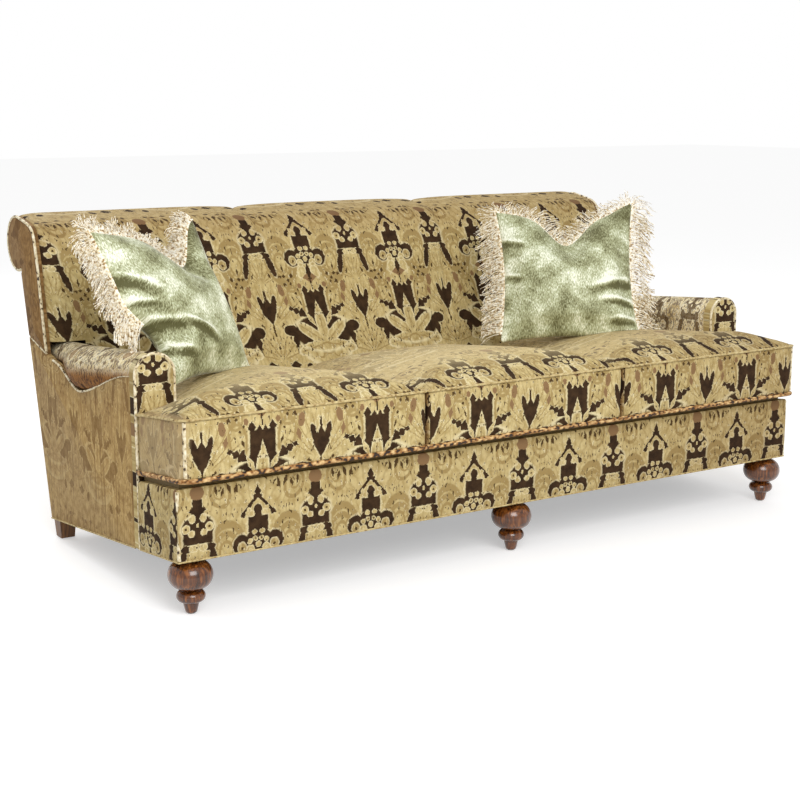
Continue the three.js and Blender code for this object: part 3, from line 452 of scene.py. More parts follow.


# Woven damask: a warp-faced satin ground shows brown, the weft-faced figures show gold and catch the light.
# Its "tuck" attribute marks painted shade, darkening the colour in the gathers and divisions, on the ears and
# towards the right end, and another attribute marks painted skimming light, which pales the colour and the
# figures.
def makeDamask(name, tones):
    material, tree, shader = newMaterial(name)
    cloth = clothPlace(tree)
    inMillimetres = scaled(tree, cloth, 1000.0)
    stepped = vectors(tree, "SNAP", inMillimetres, [damask["weaveStep"]] * 3)
    wander = addNode(
        tree, "ShaderNodeTexNoise", {"Vector": stepped, "Scale": 1 / damask["edgeGrain"], "Detail": 2.0}
    ).outputs["Color"]
    centred = vectors(tree, "SUBTRACT", wander, (0.5, 0.5, 0.5))
    strayed = vectors(tree, "MULTIPLY_ADD", centred, [2 * damask["edgeWander"]] * 3, stepped)
    parts = parted(tree, strayed)
    half = damask["castleSpacing"] / 2
    fromTulip = maths(tree, "PINGPONG", parts[0], half)
    fromCastle = maths(tree, "SUBTRACT", half, fromTulip)
    up = maths(tree, "WRAP", parts[1], damask["repeatTop"], damask["repeatBottom"])
    columns = {"tulip": flatPoint(tree, fromTulip, up), "castle": flatPoint(tree, fromCastle, up)}
    for fan, (column, root, spacing, opening) in fans.items():
        columns[fan] = openFan(tree, columns[column], root, spacing, opening)
    groundReach = nearestOf(tree, groundFigures, columns)
    leafReach = nearestOf(tree, leafFigures, columns)
    lineReach = nearestOf(tree, lineFigures, columns)
    caps = within(tree, nearestOf(tree, capFigures, columns))
    curls = within(tree, nearestOf(tree, curlFigures, columns), 0.9, 1.3)
    leaf = within(tree, leafReach)
    ground = within(tree, groundReach)
    bare = maths(tree, "SUBTRACT", 1.0, leaf)
    # Painted skimming light: where the attribute is set, the figures fade and the colour pales.
    paintedSkimLight = markOn(tree, "paintedSkimLight")
    kept = ranged(tree, paintedSkimLight, 0.0, 1.0, tones["figureShare"], damask["paintedSkimFigureShare"])
    brown = times(tree, times(tree, ground, bare), kept)
    # Pale threads run round the figures and the petals.
    beside = maths(tree, "SUBTRACT", 1.0, ground)
    rim = times(tree, within(tree, groundReach, 1.0, 1.2), beside)
    petalRim = times(tree, leaf, above(tree, leafReach, 0.7, 1.0))
    pale = maths(tree, "MAXIMUM", rim, petalRim)

    # Small figures are alike on both sides of a column too: veins that run up the leaves, dark specks in
    # loose groups and the pale threads beside them.
    folded = columns["castle"]
    stray = {"Distortion": 9.0, "Detail": 1.0, "Detail Scale": 1.2}
    veins = bands(tree, folded, damask["veinSpacing"], "X", stray)
    upright = vectors(tree, "MULTIPLY", folded, (1.35, 0.6, 1))
    specks = noise(tree, upright, 1 / damask["speckSize"], 1.0)
    groups = noise(tree, folded, 1 / damask["groupSize"], 1.0)
    grouped = maths(tree, "MULTIPLY_ADD", groups, 0.42, specks)
    veinShare = times(tree, above(tree, veins, 0.7, 0.95), damask["veinShare"])
    speckShare = above(tree, grouped, tones["speckFrom"], tones["speckFrom"] + 0.04)
    paleShare = above(tree, specks, tones["paleFrom"], tones["paleFrom"] + 0.08)
    pale = maths(tree, "MAXIMUM", pale, paleShare)
    lines = within(tree, lineReach)
    darkShare = maths(tree, "MAXIMUM", lines, speckShare)

    # Threads: fine bars across and up, and slow changes of shade from wear and dye.
    rows = bands(tree, inMillimetres, damask["thread"], "Y", {"Distortion": 1.2, "Detail": 1.0})
    ends = bands(tree, inMillimetres, damask["thread"], "X", {"Distortion": 0.8, "Detail": 1.0})
    slubs = noise(tree, inMillimetres, 1 / damask["slubSize"], 5.0)
    threads = times(tree, rows, ends)
    shade = maths(tree, "MULTIPLY_ADD", threads, 0.4, slubs)
    golds = [(0.38, tones["goldShade"]), (0.58, tones["gold"]), (0.84, tones["goldLight"])]
    colour = ramped(tree, shade, golds)
    brownTone = ramped(tree, shade, [(0.4, tones["groundDark"]), (0.9, tones["ground"])])
    soft = maths(tree, "MAXIMUM", veinShare, times(tree, curls, 0.85))
    for share, strength, tone in (
        (soft, tones["figureShare"], "vein"),
        (pale, damask["paleShare"], "highlight"),
        (caps, tones["figureShare"], "cap"),
        (darkShare, tones["figureShare"], "line"),
    ):
        colour = mixed(tree, times(tree, share, strength), colour, linear(tones[tone]))
    colour = mixed(tree, brown, colour, brownTone)
    if tones["streakShare"]:
        width, length = damask["streak"]
        drawn = vectors(tree, "MULTIPLY", inMillimetres, (1 / width, 1 / length, 0))
        streaks = noise(tree, drawn, 1.0, 4.0)
        streakShare = times(tree, above(tree, streaks, 0.52, 0.66), tones["streakShare"])
        colour = mixed(tree, streakShare, colour, linear(tones["streak"]))
    # Painted skimming light pales the colour.
    colour = mixed(tree, times(tree, paintedSkimLight, damask["paintedSkimStrength"]), colour, linear(tones["paintedSkimColour"]))
    # Painted shade: the colour is multiplied darker where the tuck attribute says.
    colour = mixed(tree, markOn(tree, "tuck"), colour, linear(damask["paintedShadeColour"]), "MULTIPLY")
    raised = maths(tree, "MULTIPLY_ADD", threads, 0.4, bare)
    feed(tree, shader, {
        "Base Color": colour,
        "Roughness": ranged(tree, brown, 0.0, 1.0, 0.68, 0.82),
        "Specular IOR Level": 0.15,
        "Normal": bumped(tree, 0.35, 0.0008, raised),
    })
    return material


# Piping cut on the bias from the same damask, so that its tones run past in short slanting dashes.
def makePiping(name, dark, middle, light, darkShare, dash):
    material, tree, shader = newMaterial(name)
    cloth = clothPlace(tree)
    slanted = addNode(
        tree, "ShaderNodeMapping",
        {"Vector": cloth, "Rotation": (0, 0, 0.5), "Scale": (1 / dash, 1.2 / dash, 1)},
    ).outputs["Vector"]
    dashes = noise(tree, slanted, 1.0, 1.5)
    feed(tree, shader, {
        "Base Color": ramped(tree, dashes, [(darkShare, dark), (darkShare + 0.05, middle), (0.66, light)]),
        "Roughness": 0.65,
        "Normal": bumped(tree, 0.3, 0.0006, dashes),
    })
    return material


# Crushed velvet: rayon pile laid in short streaks, pale beside deep sage, over slow changes of tone.
# An attribute marks painted light and shade on the pillows: highlights along the folds' ridges, shade below
# them and towards the top right.
velvetLook = {
    "streakWidth": 0.0028,
    "streakLength": 0.008,
    "streakShare": 0.45,  # the rest of the tone comes from the patches
    "patch": 0.085,
    "tones": [(0.36, "#57552F"), (0.45, "#8F9068"), (0.53, "#BCC19B"), (0.62, "#F6F8E4")],
}


def makeVelvet():
    material, tree, shader = newMaterial("crushed velvet")
    cloth = clothPlace(tree)
    scale = (1 / velvetLook["streakWidth"], 1 / velvetLook["streakLength"], 1)
    stretched = addNode(tree, "ShaderNodeMapping", {"Vector": cloth, "Scale": scale}).outputs["Vector"]
    streaks = noise(tree, stretched, 1.0, 2.0, 0.6)
    patches = noise(tree, cloth, 1 / velvetLook["patch"], 3.0)
    # The painted fold light and shade is added to the tone.
    patchPart = maths(tree, "MULTIPLY_ADD", patches, 1 - velvetLook["streakShare"], markOn(tree, "paintedFoldLight"))
    laid = maths(tree, "MULTIPLY_ADD", streaks, velvetLook["streakShare"], patchPart)
    feed(tree, shader, {
        "Base Color": ramped(tree, laid, velvetLook["tones"]),
        "Roughness": ranged(tree, laid, 0.35, 0.65, 0.8, 0.4),
        "Sheen Weight": 0.5,
        "Sheen Roughness": 0.3,
        "Normal": bumped(tree, 0.5, 0.002, streaks),
    })
    return material


# Brush fringe: cut viscose yarn, cream with deeper gold in patches.
yarnLook = {
    "patchesPerMetre": 140.0,
    "tones": [(0.36, "#8E6A36"), (0.44, "#E8D4A8"), (0.56, "#FFFAEC")],
}


def makeYarn():
    material, tree, shader = newMaterial("fringe yarn")
    place = ownPlace(tree)
    patches = noise(tree, place, yarnLook["patchesPerMetre"], 2.0)
    colour = ramped(tree, patches, yarnLook["tones"])
    feed(tree, shader, {"Base Color": colour, "Roughness": 0.55, "Sheen Weight": 0.3})
    return material


# Hardwood, turned or sawn: dark grain lines along the piece, under as much clear lacquer as coat says.
def makeWood(name, dark, middle, light, grainWidth, coat, roughness, along):
    material, tree, shader = newMaterial(name)
    place = ownPlace(tree)
    stretch = [1 / grainWidth] * 3
    stretch[along] = 0.08 / grainWidth
    drawn = addNode(tree, "ShaderNodeMapping", {"Vector": place, "Scale": stretch}).outputs["Vector"]
    grain = noise(tree, drawn, 1.0, 5.0, 0.6)
    feed(tree, shader, {
        "Base Color": ramped(tree, grain, [(0.3, dark), (0.5, middle), (0.75, light)]),
        "Roughness": roughness,
        "Coat Weight": coat,
        "Coat Roughness": 0.12,
        "Normal": bumped(tree, 0.2, 0.0004, grain),
    })
    return material


# Steel: drawn spring wire, plated bolts and pressed glides, with paler patches that are duller.
def makeSteel(name, colour, roughness, markSize):
    material, tree, shader = newMaterial(name)
    place = ownPlace(tree)
    marks = noise(tree, place, 1 / markSize, 3.0)
    feed(tree, shader, {
        "Base Color": mixed(tree, marks, linear(colour), linear("#D8D8D6")),
        "Roughness": ranged(tree, marks, 0.0, 1.0, roughness, roughness + 0.2),
        "Metallic": 1.0,
    })
    return material


# Plain woven cloth, such as the deck's cotton and the dust cover: a square weave drawn coarser than it is.
def makePlainCloth(name, shadeColour, lightColour, thread, roughness):
    material, tree, shader = newMaterial(name)
    place = ownPlace(tree)
    weave = times(tree, *(bands(tree, place, thread, axis, {"Distortion": 0.6}) for axis in "YX"))
    feed(tree, shader, {
        "Base Color": mixed(tree, weave, linear(shadeColour), linear(lightColour)),
        "Roughness": roughness,
        "Normal": bumped(tree, 0.4, 0.0006, weave),
    })
    return material


print("materials")
damaskCloth = makeDamask("damask", damaskTones["face"])
shadedSideDamask = makeDamask("damask with painted side shade", damaskTones["side"])
litRollDamask = makeDamask("damask with painted roll highlights", damaskTones["roll"])
goldPiping = makePiping("gold bias piping", "#7E6236", "#A88E58", "#CDBB88", 0.34, 0.012)
amberPiping = makePiping("amber bias piping", "#2A180A", "#8E5C22", "#DDBB82", 0.42, 0.016)
creamPiping = makePiping("cream bias piping", "#3A2618", "#C9B68C", "#F1E9CE", 0.36, 0.014)
velvet = makeVelvet()
yarn = makeYarn()
footWood = makeWood("polished turned hardwood", "#2C1406", "#5F3210", "#A06026", 0.008, 0.5, 0.25, 2)
legWood = makeWood("satin stained hardwood", "#3A2412", "#6B4520", "#865C30", 0.007, 0.1, 0.5, 2)
frameWood = makeWood("sawn hardwood", "#8A6238", "#B58B5D", "#CCA878", 0.006, 0.0, 0.75, 0)
springSteel = makeSteel("spring wire", "#6E7072", 0.35, 0.02)
boltSteel = makeSteel("plated bolt", "#A8A8A4", 0.3, 0.01)
glideSteel = makeSteel("pressed glide", "#77746F", 0.4, 0.005)
deckCotton = makePlainCloth("deck cotton", "#6F5E3E", "#A08C60", 0.003, 0.85)
dustCloth = makePlainCloth("dust cloth", "#151413", "#2E2B29", 0.003, 0.95)


# Shapes: points, faces and, for each face, the cloth coordinates of its corners in metres.
def gridShape(rows, clothRows, wrap=False, caps=False):
    count = len(rows[0])
    points = [p for row in rows for p in row]
    faces = []
    cloths = []
    for r in range(len(rows) - 1):
        for c in range(count if wrap else count - 1):
            d = (c + 1) % count
            faces.append((r * count + c, r * count + d, (r + 1) * count + d, (r + 1) * count + c))
            low, high = clothRows[r], clothRows[r + 1]
            cloths.append((low[c], low[c + 1], high[c + 1], high[c]))
    if caps:
        last = (len(rows) - 1) * count
        faces.append(tuple(reversed(range(count))))
        cloths.append(tuple(reversed(clothRows[0][:count])))
        faces.append(tuple(last + k for k in range(count)))
        cloths.append(tuple(clothRows[-1][:count]))
    return {"points": points, "faces": faces, "cloths": cloths}


def newObject(name, content):
    made = bpy.data.objects.new(name, content)
    bpy.context.scene.collection.objects.link(made)
    return made


def makePiece(name, shapes, material, sharpAngle=40):
    points, faces, cloths = [], [], []
    for shape in shapes:
        start = len(points)
        points += [p + origin for p in shape["points"]]
        faces += [tuple(start + k for k in face) for face in shape["faces"]]
        cloths += shape["cloths"]
    mesh = bpy.data.meshes.new(name)
    mesh.from_pydata(points, [], faces)
    layer = mesh.uv_layers.new(name="cloth")
    for polygon, corners in zip(mesh.polygons, cloths):
        for loop, corner in zip(polygon.loop_indices, corners):
            layer.data[loop].uv = corner
    mesh.materials.append(material)
    piece = newObject(name, mesh)
    tidyMesh(piece, sharpAngle)
    return piece


def tidyMesh(piece, sharpAngle=40):
    work = bmesh.new()
    work.from_mesh(piece.data)
    bmesh.ops.remove_doubles(work, verts=work.verts, dist=1e-5)
    bmesh.ops.recalc_face_normals(work, faces=work.faces)
    limit = math.radians(sharpAngle)
    for face in work.faces:
        face.smooth = True
    for edge in work.edges:
        edge.smooth = len(edge.link_faces) == 2 and edge.calc_face_angle(0) < limit
    work.to_mesh(piece.data)
    work.free()


def markCloth(piece, mark, rule):
    share = piece.data.attributes.new(mark, "FLOAT", "POINT")
    for vertex in piece.data.vertices:
        share.data[vertex.index].value = rule(vertex.co - origin)


# Padding is filled as real padding is: the cover is a cloth with pressure inside it, simulated from a shape
# that is a little too small. No point strays further than its cap, which capAt gives for its place.
def fillCover(piece, voxel, capAt, pressure=4.0, frames=20):
    even = piece.modifiers.new("even mesh", "REMESH")
    even.mode = "VOXEL"
    even.voxel_size = voxel
    applyModifiers(piece)
    start = [vertex.co.copy() for vertex in piece.data.vertices]
    cover = piece.modifiers.new("cover", "CLOTH")
    cover.settings.use_pressure = True
    cover.settings.uniform_pressure_force = pressure
    cover.settings.effector_weights.gravity = 0
    cover.point_cache.frame_start = 1
    cover.point_cache.frame_end = frames
    for moment in range(1, frames + 1):
        bpy.context.scene.frame_set(moment)
    applyModifiers(piece)
    bpy.context.scene.frame_set(1)
    for vertex, before in zip(piece.data.vertices, start):
        moved = vertex.co - before
        cap = capAt(before - origin)
        if moved.length > cap:
            vertex.co = before + moved * (cap / moved.length)
    finer = piece.modifiers.new("finer", "SUBSURF")
    finer.levels = 1
    finer.render_levels = 1
    applyModifiers(piece)
    for polygon in piece.data.polygons:
        polygon.use_smooth = True


def applyModifiers(piece):
    evaluated = piece.evaluated_get(bpy.context.evaluated_depsgraph_get())
    whole = bpy.data.meshes.new_from_object(evaluated)
    piece.modifiers.clear()
    piece.data = whole


def settle(piece, bodyName, nodes=()):
    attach(piece, bodyName)
    if nodes:
        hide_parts(*nodes)


# A round cord along a route, closed at both ends or running round in a loop.
def cordShape(route, radius, sides=10, loop=False):
    count = len(route)
    rows, cloths = [], []
    side = None
    length = 0
    for k in range(count):
        before = route[k - 1] if loop or k else route[k]
        after = route[(k + 1) % count] if loop or k + 1 < count else route[k]
        ahead = (after - before).normalized()
        if side is None:
            side = ahead.cross(Vector((0.3, 0.2, 0.93))).normalized()
        side = (side - ahead * side.dot(ahead)).normalized()
        other = ahead.cross(side)
        length += (route[k] - route[k - 1]).length if k else 0
        angles = [2 * math.pi * s / sides for s in range(sides + 1)]
        rows.append([route[k] + radius * (math.cos(a) * side + math.sin(a) * other) for a in angles[:-1]])
        cloths.append([(length, radius * a) for a in angles])
    if loop:
        rows.append(rows[0])
        end = length + (route[0] - route[-1]).length
        cloths.append([(end, v) for u, v in cloths[0]])
    return gridShape(rows, cloths, wrap=True, caps=not loop)


def spread(route, spacing, loop=False):
    ends = route + [route[0]] if loop else route
    dense = []
    for a, b in zip(ends, ends[1:]):
        count = max(1, round((b - a).length / spacing))
        dense += [a.lerp(b, k / count) for k in range(count)]
    return dense if loop else dense + [route[-1]]


# Where the damask's castles stand on each panel: how far up the cloth's own zero lies.
clothStart = {"border": 0.024, "cushion": 0.443, "back": 0.655, "side": 0.40}
# The back's cloth is cut on a slight slant, across per up, as its columns show.
backSlant = 0.19


# A flat upholstered panel: an outline with a rounded edge and a slightly raised middle. toSpace(a, b, out)
# places a point of the outline's plane, out from the panel's back.
def panelShape(outline, toSpace, thickness, edgeRound=panelRound, spacing=0.014):
    flat = [Vector((a, b, 0)) for a, b in outline]
    area = sum(p.x * q.y - q.x * p.y for p, q in zip(flat, flat[1:] + flat[:1]))
    if area < 0:
        flat.reverse()
    flat = spread(flat, spacing, loop=True)
    count = len(flat)
    inward = []
    for k in range(count):
        ahead = (flat[(k + 1) % count] - flat[k]).normalized()
        behind = (flat[k] - flat[k - 1]).normalized()
        turn = Vector((-ahead.y - behind.y, ahead.x + behind.x, 0)).normalized()
        inward.append(turn / max(0.4, turn.dot(Vector((-ahead.y, ahead.x, 0)))))
    edgeTop = thickness - panelPuff
    rings = [(0, 0), (0, edgeTop - edgeRound)]
    for k in range(1, 4):
        angle = k * math.pi / 6
        rings.append((edgeRound * (1 - math.cos(angle)), edgeTop - edgeRound * (1 - math.sin(angle))))
    rings.append((1.25 * edgeRound, edgeTop + panelPuff))
    rows, cloths = [], []
    for inset, out in rings:
        places = [p + inset * n for p, n in zip(flat, inward)]
        rows.append([toSpace(p.x, p.y, out) for p in places])
        row = [(p.x, p.y - clothStart["side"]) for p in places]
        cloths.append(row + row[:1])
    return gridShape(rows, cloths, wrap=True, caps=True)


# A panel on the outer side of the sofa, whose outline is drawn in depth and height.
def sidePanel(outline):
    def toSide(a, b, out):
        return Vector((timberOutside + gap + out, a, b))

    return panelShape(outline, toSide, panelThickness)


# Front border: the padded band across the front and back along both sides to the arms
frontBorder = {
    "armFace": 0.240,
    "edgeRound": 0.006,
    "puff": 0.002,
    "edgeRadius": 0.0026,
    "cornerRadius": 0.0055,
    "tuck": 0.1,
    "rightPaintedShade": 0.24,
}


# The right end of the sofa is turned away from the light, and painted shade darkens its cloth there.
def rightPaintedShade(place):
    return frontBorder["rightPaintedShade"] * smooth(place.x, 0.1, 1.1)


def makeBorder():
    rear = frontBorder["armFace"] - gap
    inner = halfWidth - panelThickness
    columns = [("side", -1, y) for y in steps(rear, frontBorder["edgeRound"], 20)]
    columns += [("corner", -1, angle) for angle in steps(0, 90, 5)]
    frontReach = halfWidth - frontBorder["edgeRound"]
    columns += [("front", 0, x) for x in steps(-frontReach, frontReach, 140)]
    columns += [("corner", 1, angle) for angle in steps(90, 0, 5)]
    columns += [("side", 1, y) for y in steps(frontBorder["edgeRound"], rear, 20)]
    shares = [0, 0, 0.02, 0.06, 0.3, 0.5, 0.7, 0.94, 0.98, 1, 1]
    insets = [1, 0.35, 0.1, 0, 0, 0, 0, 0, 0.1, 0.35, 1]
    rows, cloths = [], []
    cornerRound = frontBorder["edgeRound"]
    for kind, side, value in columns:
        row, cloth = [], []
        for share, inset in zip(shares, insets):
            depth = panelThickness if inset == 1 else inset * cornerRound
            depth -= frontBorder["puff"] * math.sin(math.pi * share) if inset < 1 else 0
            if kind == "side":
                x, y = side * (halfWidth - depth), value
            elif kind == "front":
                x, y = value, depth
                if inset == 1:
                    x = max(-inner, min(inner, x))
            else:
                angle = math.radians(value)
                if inset == 1:
                    x, y = side * inner, panelThickness
                else:
                    reach = cornerRound - depth
                    x = side * (halfWidth - cornerRound + reach * math.cos(angle))
                    y = cornerRound - reach * math.sin(angle)
            z = lerp(bottomEdge(y), borderTop(y), share)
            row.append(Vector((x, y, z)))
            along = x if kind == "front" or (kind == "corner" and value >= 45) else y
            cloth.append((along, z - clothStart["border"]))
        rows.append(row)
        cloths.append(cloth + cloth[:1])
    border = makePiece("borderCloth", [gridShape(rows, cloths, wrap=True, caps=True)], damaskCloth)
    # Painted shade: a little over the whole border, and more towards the right end.
    markCloth(border, "tuck", lambda place: frontBorder["tuck"] + rightPaintedShade(place))
    settle(border, "frame", ["front_border"])

    radius = frontBorder["edgeRadius"]
    reach = halfWidth - radius / 2
    bottom = [(-reach, rear), (-reach, radius / 2), (reach, radius / 2), (reach, rear)]
    route = spread([Vector((x, y, 0)) for x, y in bottom], 0.02)
    for p in route:
        p.z = bottomEdge(p.y) + radius / 2
    edgeTrim = makePiece("borderEdgePiping", [cordShape(route, radius)], goldPiping)
    settle(edgeTrim, "frame")

    radius = frontBorder["cornerRadius"]
    routes = []
    for side in (-1, 1):
        corner = Vector((side * (halfWidth - radius * 0.8), radius * 0.8, 0))
        low = corner + Vector((0, 0, bottomEdge(0) + radius))
        high = corner + Vector((0, 0, borderTop(0) - radius))
        routes.append(spread([low, high], 0.02))
    cornerTrim = makePiece("borderCornerPiping", [cordShape(r, radius) for r in routes], creamPiping)
    settle(cornerTrim, "frame")


print("border")
makeBorder()


# Arms
arms = {
    "frontFace": 0.240,
    "frontThickness": 0.034,
    "frontRound": 0.006,
    "frontHeight": 0.652,
    "rearDrop": 0.056,
    "run": 0.640,
    "frontRadius": 0.058,
    "fullRadius": 0.066,
    "rearRadius": 0.046,
    "swellShare": 0.55,
    "thinShare": 0.85,
    "padThickness": 0.033,
    "fullUnder": 60,  # degrees that the swollen roll turns under
    "cornerHeight": 0.598,
    "riseShare": 10 / 12,
    "gatherDepth": 0.0034,  # folds of the cloth where it is gathered in to the front panel
    "gatherCount": 15,
    "gatherLength": 0.11,
    "pipingRadius": 0.0042,
    "footDepth": 0.0279,  # how far below the seat the inside arm starts
    "frontFootDepth": 0.0278,
}
armStart = arms["frontFace"] + arms["frontThickness"] + 2 * gap


def armRoll(share):
    swelling = smooth(share, 0, arms["swellShare"])
    thinning = smooth(share, arms["swellShare"], arms["thinShare"])
    radius = lerp(lerp(arms["frontRadius"], arms["fullRadius"], swelling), arms["rearRadius"], thinning)
    return radius, math.asin(math.sin(math.radians(arms["fullUnder"])) * (swelling - thinning))


def armTop(y):
    return arms["frontHeight"] - arms["rearDrop"] / arms["run"] * (y - arms["frontFace"])


def armSection(share):
    radius, underAngle = armRoll(share)

    def depthAt(z):
        return armStart + share * (postFront(z) - gap - armStart)

    middle = armTop(depthAt(arms["frontHeight"])) - radius
    under = middle - radius * math.sin(underAngle)
    return radius, underAngle, depthAt, middle, under


# Painted shade where the roll turns under, on its outer side.
def armPaintedShade(place):
    share = (place.y - armStart) / (postFront(place.z) - gap - armStart)
    radius, underAngle, depthAt, middle, low = armSection(min(1, max(0, share)))
    outside = smooth(abs(place.x), armInside + radius * 0.8, armInside + radius * 1.4)
    return outside * smooth(middle + radius * 0.5 - place.z, 0, radius * 0.7)


def mirrored(shape):
    points = [Vector((-p.x, p.y, p.z)) for p in shape["points"]]
    return {"points": points, "faces": [tuple(reversed(f)) for f in shape["faces"]],
            "cloths": [tuple(reversed(c)) for c in shape["cloths"]]}


# The right side is drawn, and the left side mirrors it.
bothSides = (("right", lambda shape: shape), ("left", mirrored))


def makeArms():
    inner = armInside + arms["padThickness"]
    rows, cloths = [], []
    for s in range(61):
        share = s / 60
        radius, underAngle, depthAt, middle, low = armSection(share)
        foot = seatPlane(armStart) - arms["footDepth"]
        for k in range(4):
            foot = seatPlane(depthAt(foot)) - arms["footDepth"]
        outline = [(armInside, z) for z in steps(foot, middle, 12)[:-1]]
        reach = depthAt(middle) - armStart
        fade = max(0, 1 - reach / arms["gatherLength"]) ** 1.5
        for angle in steps(math.pi, -underAngle, 44):
            wave = 0.5 + 0.5 * math.cos(arms["gatherCount"] * (math.pi - angle))
            fold = arms["gatherDepth"] * fade * wave
            r = radius - fold
            outline.append((armInside + radius + r * math.cos(angle), middle + r * math.sin(angle)))
        outline += [(inner, low - gap), (inner, foot)]
        row = [Vector((x, depthAt(z), z)) for x, z in outline]
        up = 0
        cloth = []
        for k, p in enumerate(row):
            up += (p - row[k - 1]).length if k else 0
            cloth.append((p.y, foot + up - clothStart["side"]))
        rows.append(row)
        cloths.append(cloth + cloth[:1])
    arm = gridShape(rows, cloths, wrap=True, caps=True)

    # Front panel of the arm, with its skirt down the outside of the rail
    frontMiddle = arms["frontHeight"] - arms["frontRadius"]
    skinInside = timberOutside + gap
    overRail = seatPlane(arms["frontFace"]) - arms["frontFootDepth"]
    bottom = bottomEdge(arms["frontFace"])
    front = [(armInside, overRail), (skinInside, overRail), (skinInside, bottom), (halfWidth, bottom)]
    radius = arms["frontRadius"]
    for angle in steps(0, math.pi, 28):
        front.append((armInside + radius * (1 + math.cos(angle)), frontMiddle + radius * math.sin(angle)))
    face = arms["frontFace"] + arms["frontThickness"]

    def toFront(a, b, out):
        return Vector((a, face - out, b))

    frontPanel = panelShape(front, toFront, arms["frontThickness"], arms["frontRound"])
    radius = arms["pipingRadius"]
    rim = [Vector((a, 0, b)) for a, b in front[3:]]
    rimRoute = spread([Vector((p.x, arms["frontFace"] + radius * 0.8, p.z)) for p in rim] +
                      [Vector((armInside, arms["frontFace"] + radius * 0.8, overRail))], 0.012)
    centre = Vector((armInside + arms["frontRadius"], 0, frontMiddle))
    for p in rimRoute:
        p.x -= radius * 0.5 * (1 if p.x > centre.x else -1) if p.z < frontMiddle else 0
        if p.z >= frontMiddle:
            out = Vector((p.x - centre.x, 0, p.z - centre.z)).normalized()
            p -= out * radius * 0.5
    frontPiping = cordShape(rimRoute, radius)

    # Outside arm: follows the roll's underside, then climbs to the outside back
    panelFront = arms["frontFace"] + arms["frontThickness"] + gap
    edge = []
    for share in steps(0, arms["riseShare"], 40):
        rollRadius, underAngle, depthAt, middle, low = armSection(share)
        edge.append((depthAt(low), low - 2 * gap))
    edge[0] = (panelFront, edge[0][1])
    corner = (outsideBack(arms["cornerHeight"]), arms["cornerHeight"])
    heel = outsideBack(body["rearClearance"])
    outline = [(panelFront, bottomEdge(panelFront)), (heel, body["rearClearance"]), corner]
    outline += list(reversed(edge))
    outside = sidePanel(outline)
    bottomRadius = arms["pipingRadius"] * 0.6
    bottomRun = steps(panelFront, heel - bottomRadius, 30)
    trimX = halfWidth - bottomRadius * 0.4
    trims = [Vector((trimX, y, bottomEdge(y) + bottomRadius * 0.5)) for y in bottomRun]
    outsidePiping = cordShape(trims, bottomRadius)
    rimPiping = cordShape([Vector((halfWidth - radius * 0.8, y, z + gap)) for y, z in edge], radius * 0.8)

    for name, turn in bothSides:
        piece = makePiece("armRoll_" + name, [turn(arm)], litRollDamask)
        markCloth(piece, "tuck", armPaintedShade)
        settle(piece, "frame", ["arm_" + name])
        piece = makePiece("armFace_" + name, [turn(frontPanel)], damaskCloth)
        settle(piece, "frame", ["arm_front_" + name])
        piece = makePiece("armOutside_" + name, [turn(outside)], shadedSideDamask)
        settle(piece, "frame", ["outside_arm_" + name])
        piece = makePiece("armPiping_" + name, [turn(frontPiping), turn(rimPiping)], creamPiping)
        settle(piece, "frame")
        piece = makePiece("armBottomPiping_" + name, [turn(outsidePiping)], goldPiping)
        settle(piece, "frame")
    return edge[-1], corner


print("arms")
armRise, armCorner = makeArms()

# Back
back = {
    "rollPaintedShade": 0.34,
    "rollShadeHeights": (0.82, 0.92),
    "sidePaintedShade": 0.55,
    "rollRadius": 0.090,
    "rollCentre": (1.107, 0.872),
    "padPoints": [(0.8091, 0.284), (0.8726, 0.590), (0.8930, 0.720), (0.9134, 0.850), (0.9581, 0.930)],
    "rollStart": 105,
    "rollEnd": -114,
    "endRound": 0.070,
    "frontEndShare": 0.3,
    "rollEndShare": 0.1,
    "seamShare": 0.09,
    "seamOffset": 0.350,
    "seamPinch": 0.005,  # the sewn seam itself pulls in sharply by this much
    "seamPinchWidth": 0.012,
    "pipingRadius": 0.0042,
    "hiddenRuns": (0.05, 0.5),  # cloth along the hidden top and rear of the padding
}
outsideBackTop = body["rearClearance"] + body["backHeight"]


def onRoll(angle, radius):
    y, z = back["rollCentre"]
    return (y + radius * math.cos(angle), z + radius * math.sin(angle))


frontCurve = back["padPoints"] + [onRoll(math.radians(back["rollStart"]), back["rollRadius"])]


def curveAt(points, share):
    place = (len(points) - 1) * share
    k = min(int(place), len(points) - 2)
    t = place - k
    p0, p1, p2 = points[max(0, k - 1)], points[k], points[k + 1]
    p3 = points[min(len(points) - 1, k + 2)]
    result = []
    for a, b, c, d in zip(p0, p1, p2, p3):
        v0, v1 = (c - a) / 2, (d - b) / 2
        cubic, square = 2 * b - 2 * c + v0 + v1, 3 * c - 3 * b - 2 * v0 - v1
        result.append(cubic * t ** 3 + square * t ** 2 + v0 * t + b)
    return result


def padRear(z):
    return postFront(z) - gap


def backLine(drawFront, drawRoll, pinch=0, frontSteps=44, rollSteps=44):
    line = []
    centreY, centreZ = back["rollCentre"]
    for k in range(frontSteps):
        share = k / frontSteps
        y, z = curveAt(frontCurve, share)
        blend = smooth(share, 0.5, 1)
        spineY, spineZ = lerp(padRear(z), centreY, blend), lerp(z, centreZ, blend)
        draw = lerp(drawFront, drawRoll, blend)
        toSpine = Vector((spineY - y, spineZ - z))
        inward = draw + pinch / max(0.02, toSpine.length)
        line.append((y + inward * toSpine.x, z + inward * toSpine.y))
    for angle in steps(math.radians(back["rollStart"]), math.radians(back["rollEnd"]), rollSteps):
        line.append(onRoll(angle, back["rollRadius"] * (1 - drawRoll) - pinch))
    return line


